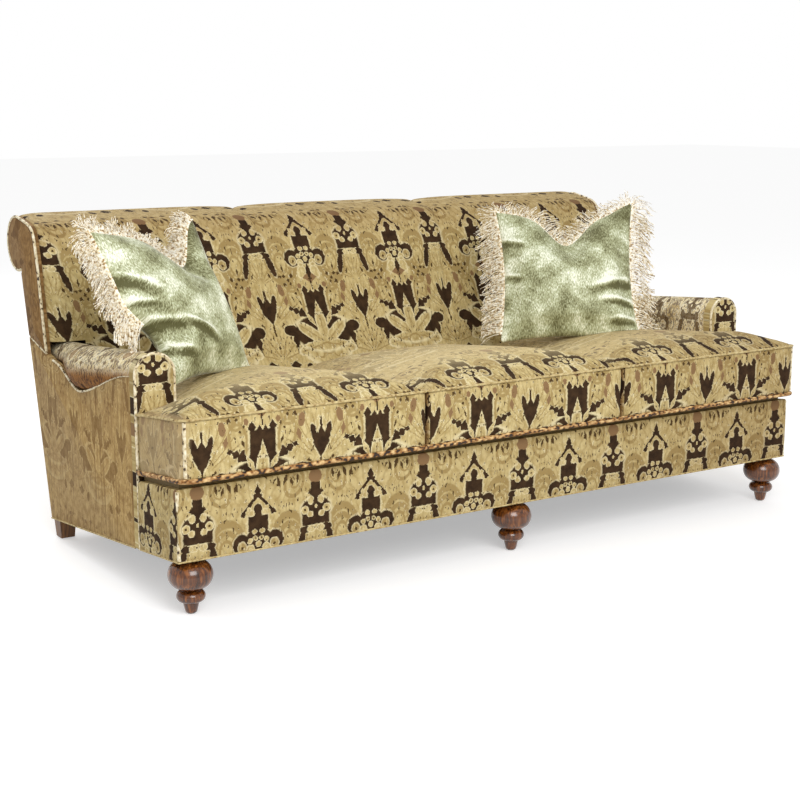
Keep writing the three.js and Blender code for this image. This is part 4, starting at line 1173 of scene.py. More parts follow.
def backPanel(xs, drawAt, side=1):
    padTop = outsideBackTop + gap
    full = backLine(0, 0)
    castleUp = 0
    lengths = [0]
    for k in range(1, len(full)):
        lengths.append(lengths[-1] + math.dist(full[k], full[k - 1]))
        if full[k][1] < clothStart["back"]:
            castleUp = lengths[-1]
    rows, cloths = [], []
    for x in xs:
        drawFront, drawRoll, pinch = drawAt(x)
        line = backLine(drawFront, drawRoll, pinch)
        ups = list(lengths)
        line += [(padRear(padTop), padTop), (padRear(back["padPoints"][0][1]), back["padPoints"][0][1])]
        ups += [ups[-1] + run for run in back["hiddenRuns"]]
        rows.append([Vector((x, y, z)) for y, z in line])
        cloth = [(x + side * backSlant * (up - castleUp), up - castleUp) for up in ups]
        cloths.append(cloth + cloth[:1])
    return gridShape(rows, cloths, wrap=True, caps=True)


# Painted shade darkens the cloth towards the top of the back, over the roll.
def rollPaintedShade(place):
    return back["rollPaintedShade"] * smooth(place.z, *back["rollShadeHeights"])


def makeBack():
    seam = back["seamOffset"]

    def pinchAt(distance):
        return back["seamPinch"] * math.exp(-(distance / back["seamPinchWidth"]) ** 2)

    def middleDraw(x):
        offset = back["seamShare"] * abs(x / seam) ** 5
        return offset, offset, pinchAt(seam - abs(x))

    # Closer stations at the seams
    spacing = [math.sin(math.pi / 2 * s) for s in steps(-1, 1, 44)]
    middle = backPanel([(seam - gap / 2) * s for s in spacing], middleDraw)
    piece = makePiece("backPad_middle", [middle], damaskCloth)
    markCloth(piece, "tuck", rollPaintedShade)
    settle(piece, "frame", ["inside_back_middle"])

    straight = timberOutside - back["endRound"]

    def outerDraw(x):
        into = min(1, max(0, (x - straight) / back["endRound"]))
        rounded = 1 - math.sqrt(1 - into * into)
        share = (x - seam) / (timberOutside - seam)
        offset = back["seamShare"] * max(0, 1 - 2 * share) ** 5
        drawFront = offset + back["frontEndShare"] * rounded
        return drawFront, offset + back["rollEndShare"] * rounded, pinchAt(x - seam)

    xs = [lerp(seam + gap / 2, straight, 1 - math.cos(math.pi / 2 * s)) for s in steps(0, 1, 40)]
    xs += [straight + back["endRound"] * math.sin(math.pi / 2 * s) for s in steps(0.1, 1, 14)]
    notchTop = armTop(back["padPoints"][1][0]) + 2 * gap
    for side, name in ((1, "right"), (-1, "left")):
        shape = backPanel(xs, outerDraw, side)
        shape = shape if side == 1 else mirrored(shape)
        piece = makePiece("backPad_" + name, [shape], damaskCloth)
        cutNotch(piece, side, notchTop)
        markCloth(piece, "tuck", rollPaintedShade)
        settle(piece, "frame", ["inside_back_" + name])

    def toBack(a, b, out):
        return Vector((a, outsideBack(b) - panelThickness + out, b))

    outline = [(-timberOutside, body["rearClearance"]), (timberOutside, body["rearClearance"]),
               (timberOutside, outsideBackTop), (-timberOutside, outsideBackTop)]
    outside = panelShape(outline, toBack, panelThickness, spacing=0.03)
    piece = makePiece("backOutside", [outside], shadedSideDamask)
    settle(piece, "frame", ["outside_back"])

    riseY, riseZ = armRise
    cornerY, cornerZ = armCorner

    def climbAt(y):
        return riseZ + (y - riseY) / (cornerY - riseY) * (cornerZ - riseZ) + 2 * gap

    line = backLine(back["frontEndShare"], back["rollEndShare"], 0, 60, 60)
    edge = [p for p in line if p[1] > climbAt(p[0])]
    footY = edge[0][0]
    outline = edge + [(outsideBack(outsideBackTop), outsideBackTop), (cornerY, climbAt(cornerY))]
    outline.append((footY, climbAt(footY)))
    side = sidePanel(outline)
    radius = back["pipingRadius"]
    rim = [Vector((halfWidth - radius * 0.7, y, z)) for y, z in edge]
    rimPiping = cordShape(rim[::2], radius)
    seamX = halfWidth - radius * 0.8
    seamPoints = [Vector((seamX, y, climbAt(y) - gap)) for y in steps(footY, cornerY - 0.01, 24)]
    for name, turn in bothSides:
        piece = makePiece("backSide_" + name, [turn(side)], shadedSideDamask)
        # The sides of the back get an even painted shade.
        markCloth(piece, "tuck", lambda place: back["sidePaintedShade"])
        settle(piece, "frame", ["back_side_" + name])
        seamPiping = cordShape(seamPoints, radius * 0.8)
        piece = makePiece("backPiping_" + name, [turn(rimPiping), turn(seamPiping)], creamPiping)
        settle(piece, "frame")


# The padding is cut away over the arms, whose rear ends run back to the posts.
def cutNotch(piece, side, top):
    reach = 0.2
    low = Vector((armInside - gap, back["padPoints"][0][0] - reach, 0)) + origin
    high = Vector((halfWidth + reach, padRear(top) + reach, top)) + origin
    corners = [(x, y, z) for x in (low.x, high.x) for y in (low.y, high.y) for z in (low.z, high.z)]
    if side < 0:
        corners = [(2 * origin.x - x, y, z) for x, y, z in corners]
    faces = [(0, 1, 3, 2), (4, 6, 7, 5), (0, 4, 5, 1), (2, 3, 7, 6), (0, 2, 6, 4), (1, 5, 7, 3)]
    mesh = bpy.data.meshes.new("notch")
    mesh.from_pydata(corners, [], faces)
    notch = newObject("notch", mesh)
    tidyMesh(notch)
    cut = piece.modifiers.new("notch", "BOOLEAN")
    cut.operation = "DIFFERENCE"
    cut.object = notch
    cut.solver = "EXACT"
    applyModifiers(piece)
    bpy.data.objects.remove(notch)
    tidyMesh(piece)


print("back")
makeBack()

# Seat cushions
cushions = {
    "frontOverhang": 0.038,
    "corner": 0.045,  # radius of the ears' outer corners in plan
    "groove": 0.016,  # radius of the front corners at the divisions
    "grooveShade": 0.007,  # how far to each side of a division painted shade darkens the cloth
    "earPaintedShade": 0.35,
    "thickness": 0.160,
    "crown": 0.072,
    "crownReach": 0.300,
    "edgeTuck": 0.007,  # how far each side curves in between its corners
    "boxingBulge": 0.005,
    "rearLean": 0.030,  # how far the top leans back over the cushion's rear edge
    "clearance": 0.003,
    "rear": 0.803,
    "seamOffset": 0.350,
    "cell": 0.016,
    "voxel": 0.011,
    "swell": 0.007,  # how far the filling may swell the cover in the middle of the top
    "seamSwell": 0.001,
    "cornerHighlightCord": 0.0055,
    "upperPiping": 0.0036,
    "lowerPiping": 0.0065,
}


# Draws the square outer front corner of an ear in plan on to a quarter circle.
def roundedCorner(x, y):
    radius = cushions["corner"]
    centreX = halfWidth - radius
    centreY = radius - cushions["frontOverhang"]
    across = (x - centreX) / radius
    ahead = (centreY - y) / radius
    if across <= 0 or ahead <= 0:
        return x, y
    return (centreX + radius * across * math.sqrt(1 - ahead ** 2 / 2),
            centreY - radius * ahead * math.sqrt(1 - across ** 2 / 2))


# The front corners are round at the divisions too, so that each division shows as a groove.
def groovedCorner(x, y):
    radius = cushions["groove"]
    near = 1 - abs(abs(x) - cushions["seamOffset"]) / radius
    ahead = (radius - cushions["frontOverhang"] - y) / radius
    if near <= 0 or ahead <= 0:
        return x, y
    return x, y + radius * (1 - math.sqrt(1 - near ** 2)) * min(1, ahead)


def cushionPlace(sides, x, y, up):
    tuck = Vector((0, 0))
    bulge = cushions["boxingBulge"] * math.sin(math.pi * up)
    for x0, y0, x1, y1 in sides:
        length = math.hypot(x1 - x0, y1 - y0)
        off = ((x - x0) * (y1 - y0) - (y - y0) * (x1 - x0)) / length
        along = ((x - x0) * (x1 - x0) + (y - y0) * (y1 - y0)) / length
        if abs(off) < gap and gap < along < length - gap:
            depth = (cushions["edgeTuck"] - bulge) * math.sin(math.pi * along / length)
            tuck = Vector((-depth * (y1 - y0) / length, depth * (x1 - x0) / length))
            break
    front = -cushions["frontOverhang"]
    share = (y - front) / (cushions["rear"] - front)
    x, y = groovedCorner(*roundedCorner(x, y))
    moved = y + tuck.y + cushions["rearLean"] * up * share ** 3
    return Vector((x + tuck.x, moved, seatPlane(moved) + up * cushions["thickness"]))


def crownAt(sides, x, y):
    nearest = 1
    for x0, y0, x1, y1 in sides:
        length = math.hypot(x1 - x0, y1 - y0)
        along = ((x - x0) * (x1 - x0) + (y - y0) * (y1 - y0)) / length
        near = min(length, max(0, along)) / length
        nearest = min(nearest, math.hypot(x - x0 - near * (x1 - x0), y - y0 - near * (y1 - y0)))
    full = min(1, nearest / cushions["crownReach"])
    return cushions["crown"] * (1 - (1 - full) ** 2)


def cushionCloth(x, y, z, normal):
    front = -cushions["frontOverhang"]
    if abs(normal.z) > 0.55:
        return (x, seatPlane(front) + cushions["thickness"] - clothStart["cushion"] + y - front)
    if abs(normal.y) > abs(normal.x):
        return (x, z - clothStart["cushion"])
    return (y + 0.2, z - clothStart["cushion"])


def cushionShape(xs, ys, filled, sides):
    rows = 8
    points, faces = [], []
    top, bottom, walls = {}, {}, {}

    def used(i, j):
        return any(filled(i - a, j - b) for a in (0, 1) for b in (0, 1))

    for i in range(len(xs)):
        for j in range(len(ys)):
            if used(i, j):
                crowned = cushionPlace(sides, xs[i], ys[j], 1)
                crowned.z += crownAt(sides, xs[i], ys[j])
                top[i, j] = len(points)
                bottom[i, j] = len(points) + 1
                points += [crowned, cushionPlace(sides, xs[i], ys[j], 0)]

    def column(i, j):
        if (i, j) not in walls:
            stack = [bottom[i, j]]
            for r in range(1, rows):
                stack.append(len(points))
                points.append(cushionPlace(sides, xs[i], ys[j], r / rows))
            walls[i, j] = stack + [top[i, j]]
        return walls[i, j]

    def wall(start, end):
        a, b = column(*start), column(*end)
        for r in range(rows):
            faces.append((a[r], b[r], b[r + 1], a[r + 1]))

    for i in range(len(xs) - 1):
        for j in range(len(ys) - 1):
            if not filled(i, j):
                continue
            ring = [(i, j), (i + 1, j), (i + 1, j + 1), (i, j + 1)]
            faces.append(tuple(top[k] for k in ring))
            faces.append(tuple(bottom[k] for k in reversed(ring)))
            if not filled(i, j - 1):
                wall((i, j), (i + 1, j))
            if not filled(i + 1, j):
                wall((i + 1, j), (i + 1, j + 1))
            if not filled(i, j + 1):
                wall((i + 1, j + 1), (i, j + 1))
            if not filled(i - 1, j):
                wall((i, j + 1), (i, j))
    return {"points": points, "faces": faces, "cloths": [((0, 0),) * 4] * len(faces)}


def layCloth(piece, rule):
    mesh = piece.data
    layer = mesh.uv_layers.get("cloth") or mesh.uv_layers.new(name="cloth")
    for polygon in mesh.polygons:
        for loop in polygon.loop_indices:
            place = mesh.vertices[mesh.loops[loop].vertex_index].co - origin
            layer.data[loop].uv = rule(place, polygon.normal)


def cushionRule(place, normal):
    return cushionCloth(place.x, place.y, place.z, normal)


# The filling may swell the cover in the middle of the top and hardly at its seams.
def cushionCap(place):
    up = (place.z - seatPlane(place.y)) / cushions["thickness"]
    return lerp(cushions["seamSwell"], cushions["swell"], smooth(up, 1.02, 1.3))


# 1 on the outer side of an ear, and 0 from a little inside its rounding.
def onEar(place):
    return smooth(abs(place.x), halfWidth - 0.03, halfWidth - 0.012)


# Painted light, as if skimming from behind, on the top of the seat beyond its front edge and on the outer
# sides of the ears.
def cushionPaintedLight(place):
    up = (place.z - seatPlane(place.y)) / cushions["thickness"]
    top = smooth(up, 1.0, 1.1) * smooth(place.y, 0.02, 0.20)
    return max(top, onEar(place))


# Painted shade inside the divisions, deeper on the outer sides of the ears, and towards the right end.
def cushionPaintedShade(place):
    off = (abs(place.x) - cushions["seamOffset"]) / cushions["grooveShade"]
    division = math.exp(-off ** 2) * smooth(-place.y, -0.06, 0)
    return max(division, cushions["earPaintedShade"] * onEar(place), rightPaintedShade(place))


def makeCushions():
    front = -cushions["frontOverhang"]
    inside = cushions["seamOffset"] - cushions["clearance"] / 2
    rear = cushions["rear"]
    near = cushions["seamOffset"] + cushions["clearance"] / 2
    far = armInside - cushions["clearance"]
    ear = halfWidth
    earRear = frontBorder["armFace"] - cushions["clearance"]

    def cells(a, b):
        return max(1, round((b - a) / cushions["cell"]))

    middleX = steps(-inside, inside, cells(-inside, inside))
    middleY = steps(front, rear, cells(front, rear))
    middleSides = [(-inside, front, inside, front), (inside, front, inside, rear),
                   (inside, rear, -inside, rear), (-inside, rear, -inside, front)]
    bodyCells = cells(near, far)
    outerX = steps(near, far, bodyCells) + steps(far, ear, cells(far, ear))[1:]
    earRows = cells(front, earRear)
    outerY = steps(front, earRear, earRows) + steps(earRear, rear, cells(earRear, rear))[1:]
    outerSides = [(near, front, ear, front), (ear, front, ear, earRear), (ear, earRear, far, earRear),
                  (far, earRear, far, rear), (far, rear, near, rear), (near, rear, near, front)]

    def plain(xs, ys):
        return lambda i, j: 0 <= i < len(xs) - 1 and 0 <= j < len(ys) - 1

    def tee(i, j):
        return plain(outerX, outerY)(i, j) and (i < bodyCells or j < earRows)

    made = {}
    for name, xs, ys, filled, sides, flip in (
        ("middle", middleX, middleY, plain(middleX, middleY), middleSides, False),
        ("right", outerX, outerY, tee, outerSides, False),
        ("left", outerX, outerY, tee, outerSides, True),
    ):
        shape = cushionShape(xs, ys, filled, sides)
        shape = mirrored(shape) if flip else shape
        piece = makePiece("seatCushion_" + name, [shape], damaskCloth, 50)
        fillCover(piece, cushions["voxel"], cushionCap)
        layCloth(piece, cushionRule)
        markCloth(piece, "paintedSkimLight", cushionPaintedLight)
        markCloth(piece, "tuck", cushionPaintedShade)
        settle(piece, "cushion_" + name, ["seat_cushion_" + name])
        made[name] = piece
        corners = [Vector((x0, y0, 0)) for x0, y0, x1, y1 in sides]
        plan = spread(corners, 0.012, loop=True)
        for up, label, radius, liftShare, cloth in (
            (0, "Lower", cushions["lowerPiping"], 0.6, amberPiping),
            (1, "Upper", cushions["upperPiping"], -0.2, goldPiping),
        ):
            lift = radius * liftShare
            route = [cushionPlace(sides, p.x, p.y, up) for p in plan]
            route = [Vector((-p.x if flip else p.x, p.y, p.z + lift)) for p in route]
            cord = cordShape(route, radius, loop=True)
            trim = makePiece("cushion" + label + "Piping_" + name, [cord], cloth)
            settle(trim, "cushion_" + name)
        # The cream cord up each ear's rounded front corner is a painted highlight where the corner catches
        # the light.
        if name != "middle":
            radius = cushions["cornerHighlightCord"]
            side = -1 if flip else 1
            low, high = (cushionPlace(sides, ear, front, up) for up in (0.08, 0.96))
            route = spread([low, high], 0.02)
            route = [Vector((side * (p.x - radius * 0.5), p.y + radius * 0.5, p.z)) for p in route]
            trim = makePiece("cushionCornerHighlight_" + name, [cordShape(route, radius)], creamPiping)
            settle(trim, "cushion_" + name)
    return made


print("cushions")
seatCushions = makeCushions()

# Scatter pillows
pillowSizes = {
    "size": 0.462,
    "thickness": 0.165,
    "slackThickness": 0.132,  # before the filling swells it
    "voxel": 0.0058,
    "swell": 0.020,  # how far the filling may swell the cover in its middle
    "seamSwell": 0.001,
    "pressure": 5.0,
    "placeTries": 8,  # to find a point's place on the cover
    "placePace": 0.8,
    "cornerLift": 0.030,  # how far the pinched right corner stands up
    "drawIn": 0.1,  # how far each edge curves in at its middle, as a share of half the size
    "dip": 0.100,  # depth of the crease in the top edge
    "armPress": 0.092,  # how far the arm pushes the left pillow's lower corner in
    "fringeLength": 0.080,
    "cells": 56,
    "pipingRadius": 0.003,
}
# Where each pillow lies: its middle in plan, its angles in degrees, the middle and the two widths of the
# crease in its top edge, how far the arm pushes in its corner, where its fringe starts and ends on the side
# edges, and its folds, each with a start, an end, a height and a width. Starts, ends and widths are places
# from -1 to 1 on the cover, and heights are in metres.
pillowPlaces = [
    {"side": "left", "place": (-0.861, 0.468), "lean": -27, "roll": 3, "turn": 27,
     "crease": (0.42, 0.46, 0.3), "press": pillowSizes["armPress"],
     "fringe": (-0.2, 2), "fringeSpacing": 0.0006, "folds": [
         ((-1.02, 0.42), (-0.52, 0.10), 0.015, 0.17),
         ((-1.02, 0.08), (-0.66, -0.02), 0.010, 0.10),
         ((-1.02, -0.18), (-0.42, -0.34), 0.017, 0.17),
         ((-0.50, -0.30), (0.12, -0.66), 0.014, 0.13),
         ((-1.02, -0.52), (-0.45, -0.74), 0.013, 0.13),
     ]},
    {"side": "right", "place": (0.553, 0.487), "lean": -28, "roll": 0, "turn": -31,
     "crease": (0, 0.34, 0.34), "press": 0,
     "fringe": (-0.9, -0.9), "fringeSpacing": 0.0013, "folds": [
         ((-1.0, 0.52), (-0.62, 0.40), 0.010, 0.12),
         ((-0.98, -0.02), (-0.70, -0.14), 0.009, 0.11),
         ((1.0, -0.12), (0.22, -0.34), 0.016, 0.16),
         ((1.0, -0.46), (0.36, -0.50), 0.013, 0.12),
         ((0.98, -0.72), (0.50, -0.78), 0.011, 0.12),
     ]},
]


def pillowEdge(u, v, crease, press):
    half = pillowSizes["size"] / 2
    low = 1 - smooth(v, -0.5, 0.15)
    pushed = press * low * ((1 - u) / 2) ** 1.5
    x = half * u * (1 - pillowSizes["drawIn"] * (1 - v * v)) + pushed
    rise = creaseAt(u, crease)
    z = half * v * (1 - pillowSizes["drawIn"] * (1 - u * u)) - pillowSizes["dip"] * rise * ((v + 1) / 2) ** 3
    z += pillowSizes["cornerLift"] * smooth(u, 0.55, 1) * smooth(v, 0.2, 1)
    return x, z


# How deep the crease in the top edge is at a place across the pillow, from 0 to 1.
def creaseAt(u, crease):
    middle, left, right = crease
    return math.exp(-((u - middle) / (left if u < middle else right)) ** 2)


# The place on the cover, from -1 to 1 each way, of a point of the pillow's plane.
def coverPlace(x, z, crease, press):
    half = pillowSizes["size"] / 2
    u, v = x / half, z / half
    for k in range(pillowSizes["placeTries"]):
        nowX, nowZ = pillowEdge(max(-1, min(1, u)), max(-1, min(1, v)), crease, press)
        u += pillowSizes["placePace"] * (x - nowX) / half
        v += pillowSizes["placePace"] * (z - nowZ) / half
    return u, v


def pillowShape(crease, press, thickness):
    count = pillowSizes["cells"]
    points, faces, cloths = [], [], []
    for side in (-1, 1):
        start = len(points)
        for i in range(count + 1):
            for j in range(count + 1):
                u = math.sin(math.pi / 2 * (2 * i / count - 1))
                v = math.sin(math.pi / 2 * (2 * j / count - 1))
                x, z = pillowEdge(u, v, crease, press)
                full = max(0, (1 - u * u) * (1 - v * v)) ** 0.45
                pressed = creaseAt(u, crease) * max(0, v)
                points.append(Vector((x, side * thickness / 2 * full * (1 - pressed / 2), z)))
        for i in range(count):
            for j in range(count):
                a = start + i * (count + 1) + j
                face = (a, a + count + 1, a + count + 2, a + 1)
                faces.append(face if side < 0 else tuple(reversed(face)))
                corners = [points[k] for k in faces[-1]]
                cloths.append(tuple((p.x, p.z) for p in corners))
    return {"points": points, "faces": faces, "cloths": cloths}


# Where a place on the cover lies by a fold: its share along the fold, and how far above or below it is.
def besideFold(start, end, u, v):
    run = (end[0] - start[0], end[1] - start[1])
    length = math.hypot(*run)
    along = ((u - start[0]) * run[0] + (v - start[1]) * run[1]) / length ** 2
    off = abs(run[0]) / run[0] * ((v - start[1]) * run[0] - (u - start[0]) * run[1]) / length
    return along, off


# A fold stands up sharply on its lower side and falls away softly on its upper side.
def foldRise(folds, u, v):
    rise = 0
    for start, end, height, width in folds:
        along, off = besideFold(start, end, u, v)
        strong = smooth(along, -0.12, 0.2) * (1 - smooth(along, 0.45, 1.05))
        spreadWidth = width * (0.45 + 0.55 * min(1, max(0, along)))
        side = math.exp(-off / spreadWidth) if off > 0 else math.exp(off / (0.16 * spreadWidth))
        rise += height * strong * side
    return rise


# Painted light and shade at a fold: a highlight along its ridge and shade below it, and shade towards the top
# right too.
paintedFoldTones = {
    "ridge": 0.15, "below": -0.19, "topRight": -0.07, "deepest": -0.2, "palest": 0.18,
    "fullHeight": 0.014,  # a lower fold has less of them
}


def paintedFoldShading(folds, u, v):
    paintedFoldLight = paintedFoldTones["topRight"] * smooth(v, 0.1, 0.9) * smooth(u, -0.6, 0.9)
    for start, end, height, width in folds:
        along, off = besideFold(start, end, u, v)
        strong = smooth(along, -0.12, 0.15) * (1 - smooth(along, 0.55, 1.1))
        strong *= min(1, height / paintedFoldTones["fullHeight"])
        ridge = math.exp(-((off - 0.2 * width) / (0.3 * width)) ** 2)
        below = math.exp(-((off + 0.35 * width) / (0.35 * width)) ** 2)
        paintedFoldLight += strong * (paintedFoldTones["ridge"] * ridge + paintedFoldTones["below"] * below)
    return max(paintedFoldTones["deepest"], min(paintedFoldTones["palest"], paintedFoldLight))


def fringeRoute(fringe, crease, press):
    count = 60
    places = [(-1, 2 * k / count - 1) for k in range(count) if 2 * k / count - 1 > fringe[0]]
    places += [(2 * k / count - 1, 1) for k in range(count + 1)]
    places += [(1, 2 * k / count - 1) for k in range(count - 1, 0, -1) if 2 * k / count - 1 > fringe[1]]
    rim = [Vector((x, 0, z)) for x, z in (pillowEdge(u, v, crease, press) for u, v in places)]
    aways = []
    for k in range(len(rim)):
        before, after = rim[max(0, k - 4)], rim[min(len(rim) - 1, k + 4)]
        aways.append(Vector((before.z - after.z, 0, after.x - before.x)).normalized())
    return rim, aways


fringeSizes = {
    "width": 0.0011, "wave": 0.055, "waveScale": 20.0, "spread": 0.16, "droop": 0.03, "seed": 7,
    "shortest": 0.6,  # share of the longest strand's length
}


# Strands stand on a route whose "away" vectors say which way they hang. Each is a thin bent yarn.
def makeFringeTree():
    tree = bpy.data.node_groups.new("brush fringe", "GeometryNodeTree")
    tree.interface.new_socket("Geometry", in_out="OUTPUT", socket_type="NodeSocketGeometry")
    geometryIn = tree.interface.new_socket("Geometry", in_out="INPUT", socket_type="NodeSocketGeometry")
    sockets = {"Geometry": geometryIn}
    for name in ("Length", "Spacing", "Width", "Wave", "Wave Scale", "Spread", "Droop"):
        sockets[name] = tree.interface.new_socket(name, in_out="INPUT", socket_type="NodeSocketFloat")
    sockets["Seed"] = tree.interface.new_socket("Seed", in_out="INPUT", socket_type="NodeSocketInt")
    given = addNode(tree, "NodeGroupInput").outputs
    route = addNode(tree, "GeometryNodeMeshToCurve", {"Mesh": given["Geometry"]}).outputs["Curve"]
    rootPoints = addNode(
        tree, "GeometryNodeResampleCurve", {"Curve": route, "Length": given["Spacing"]}, mode="LENGTH"
    ).outputs["Curve"]
    strand = addNode(
        tree, "GeometryNodeCurveQuadraticBezier",
        {"Resolution": 6, "Start": (0, 0, 0), "Middle": (0, 0.1, 0.5), "End": (0, 0, 1)},
    ).outputs["Curve"]
    sizes = addNode(tree, "ShaderNodeCombineXYZ", {k: given["Length"] for k in range(3)}).outputs[0]
    longStrand = addNode(
        tree, "GeometryNodeTransform", {"Geometry": strand, "Scale": sizes}
    ).outputs["Geometry"]
    along = addNode(tree, "GeometryNodeSplineParameter").outputs["Factor"]
    marked = addNode(
        tree, "GeometryNodeStoreNamedAttribute",
        {"Geometry": longStrand, "Name": "along", "Value": along}, data_type="FLOAT", domain="POINT",
    ).outputs["Geometry"]
    section = addNode(
        tree, "GeometryNodeCurvePrimitiveCircle", {"Resolution": 4, "Radius": given["Width"]}
    ).outputs["Curve"]
    yarnMesh = addNode(
        tree, "GeometryNodeCurveToMesh", {"Curve": marked, "Profile Curve": section, "Fill Caps": True}
    ).outputs["Mesh"]
    away = addNode(
        tree, "GeometryNodeInputNamedAttribute", {"Name": "away"}, data_type="FLOAT_VECTOR"
    ).outputs[0]
    jitter = addNode(
        tree, "FunctionNodeRandomValue", {0: (-1, -1, -1), 1: (1, 1, 1), "Seed": given["Seed"]},
        data_type="FLOAT_VECTOR",
    ).outputs[0]
    spreadBy = scaled(tree, jitter, given["Spread"])
    aim = vectors(tree, "ADD", away, spreadBy)
    turn = addNode(tree, "FunctionNodeAlignRotationToVector", {"Vector": aim}, axis="Z").outputs[0]
    lengths = addNode(
        tree, "FunctionNodeRandomValue", {2: fringeSizes["shortest"], 3: 1.0, "Seed": given["Seed"]},
        data_type="FLOAT",
    ).outputs[1]
    strands = addNode(
        tree, "GeometryNodeInstanceOnPoints",
        {"Points": rootPoints, "Instance": yarnMesh, "Rotation": turn, "Scale": lengths},
    ).outputs["Instances"]
    real = addNode(tree, "GeometryNodeRealizeInstances", {"Geometry": strands}).outputs["Geometry"]
    place = addNode(tree, "GeometryNodeInputPosition").outputs[0]
    swirl = addNode(
        tree, "ShaderNodeTexNoise", {"Vector": place, "Scale": given["Wave Scale"], "Detail": 1.0}
    ).outputs["Color"]
    centred = vectors(tree, "SUBTRACT", swirl, (0.5, 0.5, 0.5))
    tip = addNode(tree, "GeometryNodeInputNamedAttribute", {"Name": "along"}, data_type="FLOAT").outputs[0]
    reach = times(tree, tip, given["Wave"])
    swayed = scaled(tree, centred, reach)
    bent = maths(tree, "POWER", tip, 2.0)
    fallen = times(tree, bent, given["Droop"])
    down = scaled(tree, (0, 0, -1), fallen)
    offset = vectors(tree, "ADD", swayed, down)
    waved = addNode(tree, "GeometryNodeSetPosition", {"Geometry": real, "Offset": offset}).outputs["Geometry"]
    finished = addNode(tree, "GeometryNodeSetMaterial", {"Geometry": waved, "Material": yarn})
    addNode(tree, "NodeGroupOutput", {"Geometry": finished.outputs["Geometry"]})
    return tree, sockets


def makeFringe(name, route, aways, spacing, tree, sockets):
    mesh = bpy.data.meshes.new(name)
    mesh.from_pydata(route, [(k, k + 1) for k in range(len(route) - 1)], [])
    away = mesh.attributes.new("away", "FLOAT_VECTOR", "POINT")
    for k, vector in enumerate(aways):
        away.data[k].vector = vector
    piece = newObject(name, mesh)
    modifier = piece.modifiers.new("fringe", "NODES")
    modifier.node_group = tree
    for label, value in (
        ("Length", pillowSizes["fringeLength"]),
        ("Spacing", spacing),
        ("Width", fringeSizes["width"]),
        ("Wave", fringeSizes["wave"]),
        ("Wave Scale", fringeSizes["waveScale"]),
        ("Spread", fringeSizes["spread"]),
        ("Droop", fringeSizes["droop"]),
        ("Seed", fringeSizes["seed"]),
    ):
        modifier[sockets[label].identifier] = value
    applyModifiers(piece)
    piece.data.materials.clear()
    piece.data.materials.append(yarn)
    return piece


def makePillows():
    tree, sockets = makeFringeTree()
    for settings in pillowPlaces:
        side, crease, press = settings["side"], settings["crease"], settings["press"]
        angles = [math.radians(settings[k]) for k in ("lean", "roll", "turn")]
        turn = Euler(angles, "XYZ").to_matrix().to_4x4()
        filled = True
        shape = pillowShape(crease, press, pillowSizes["slackThickness" if filled else "thickness"])
        turned = [turn @ p for p in shape["points"]]
        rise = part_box("pillow_" + side)[1].z - max(p.z for p in turned)
        move = Matrix.Translation(Vector((*settings["place"], rise)))
        shape["points"] = [move @ p for p in turned]
        piece = makePiece("scatterPillow_" + side, [shape], velvet, 80)
        if filled:
            flat = (move @ turn).inverted()

            def capAt(place):
                return pillowCap(flat @ place, crease, press)

            fillCover(piece, pillowSizes["voxel"], capAt, pillowSizes["pressure"])
        foldCover(piece, move @ turn, settings["folds"], crease, press)
        pressOnto(piece, seatCushions[side])
        bodyName = "scatter_" + side
        settle(piece, bodyName, ["pillow_" + side])
        rim, aways = fringeRoute(settings["fringe"], crease, press)
        whole = move @ turn
        strands = makeFringe(
            "pillowFringe_" + side,
            [whole @ p + origin for p in rim],
            [turn.to_3x3() @ a for a in aways],
            settings["fringeSpacing"], tree, sockets,
        )
        settle(strands, bodyName, ["pillow_fringe_" + side])
        cord = cordShape([whole @ p for p in rim], pillowSizes["pipingRadius"])
        heading = makePiece("fringeHeading_" + side, [cord], yarn)
        settle(heading, bodyName)


# The filling may swell the cover in its middle and hardly at its seam.
def pillowCap(place, crease, press):
    u, v = coverPlace(place.x, place.z, crease, press)
    fromSeam = 1 - max(abs(u), abs(v))
    return lerp(pillowSizes["seamSwell"], pillowSizes["swell"], smooth(fromSeam, 0.02, 0.35))


# Lifts a pillow's front into its folds and lays the velvet's coordinates flat on it.
def foldCover(piece, whole, folds, crease, press):
    flat = whole.inverted()
    outward = whole.to_3x3() @ Vector((0, -1, 0))
    for vertex in piece.data.vertices:
        place = flat @ (vertex.co - origin)
        if place.y > 0:
            continue
        u, v = coverPlace(place.x, place.z, crease, press)
        facing = smooth(1 - max(abs(u), abs(v)), 0, 0.06)
        vertex.co += outward * facing * foldRise(folds, u, v)

    def rule(place, normal):
        lying = flat @ place
        return (lying.x, lying.z)

    def paintedFoldLightAt(place):
        lying = flat @ place
        return paintedFoldShading(folds, *coverPlace(lying.x, lying.z, crease, press))

    layCloth(piece, rule)
    # Marks the painted highlights and shade of the folds.
    markCloth(piece, "paintedFoldLight", paintedFoldLightAt)


# A pillow's underside is pressed to the shape of the cushion that it sits on.
def pressOnto(piece, cushion):
    surface = BVHTree.FromObject(cushion, bpy.context.evaluated_depsgraph_get())
    high = Vector((0, 0, 1))
    for vertex in piece.data.vertices:
        p = vertex.co
        hit = surface.ray_cast(Vector((p.x, p.y, high.z)), -high)[0]
        if hit is not None and p.z < hit.z + gap:
            p.z = hit.z + gap


print("pillows")
makePillows()

# Feet
feet = {
    "spacing": 1.030,
    "inset": 0.046,
    "bottom": 0.003,
    "bunRadius": 0.059,
    "bunHeight": 0.072,
    "neckRadius": 0.026,
    "ringRadius": 0.038,
    "ringHeight": 0.032,
    "stemRadius": 0.021,
    "toeRadius": 0.014,
    "shoulderRadius": 0.032,
    "beadHeight": 0.005,
    "segments": 64,
}


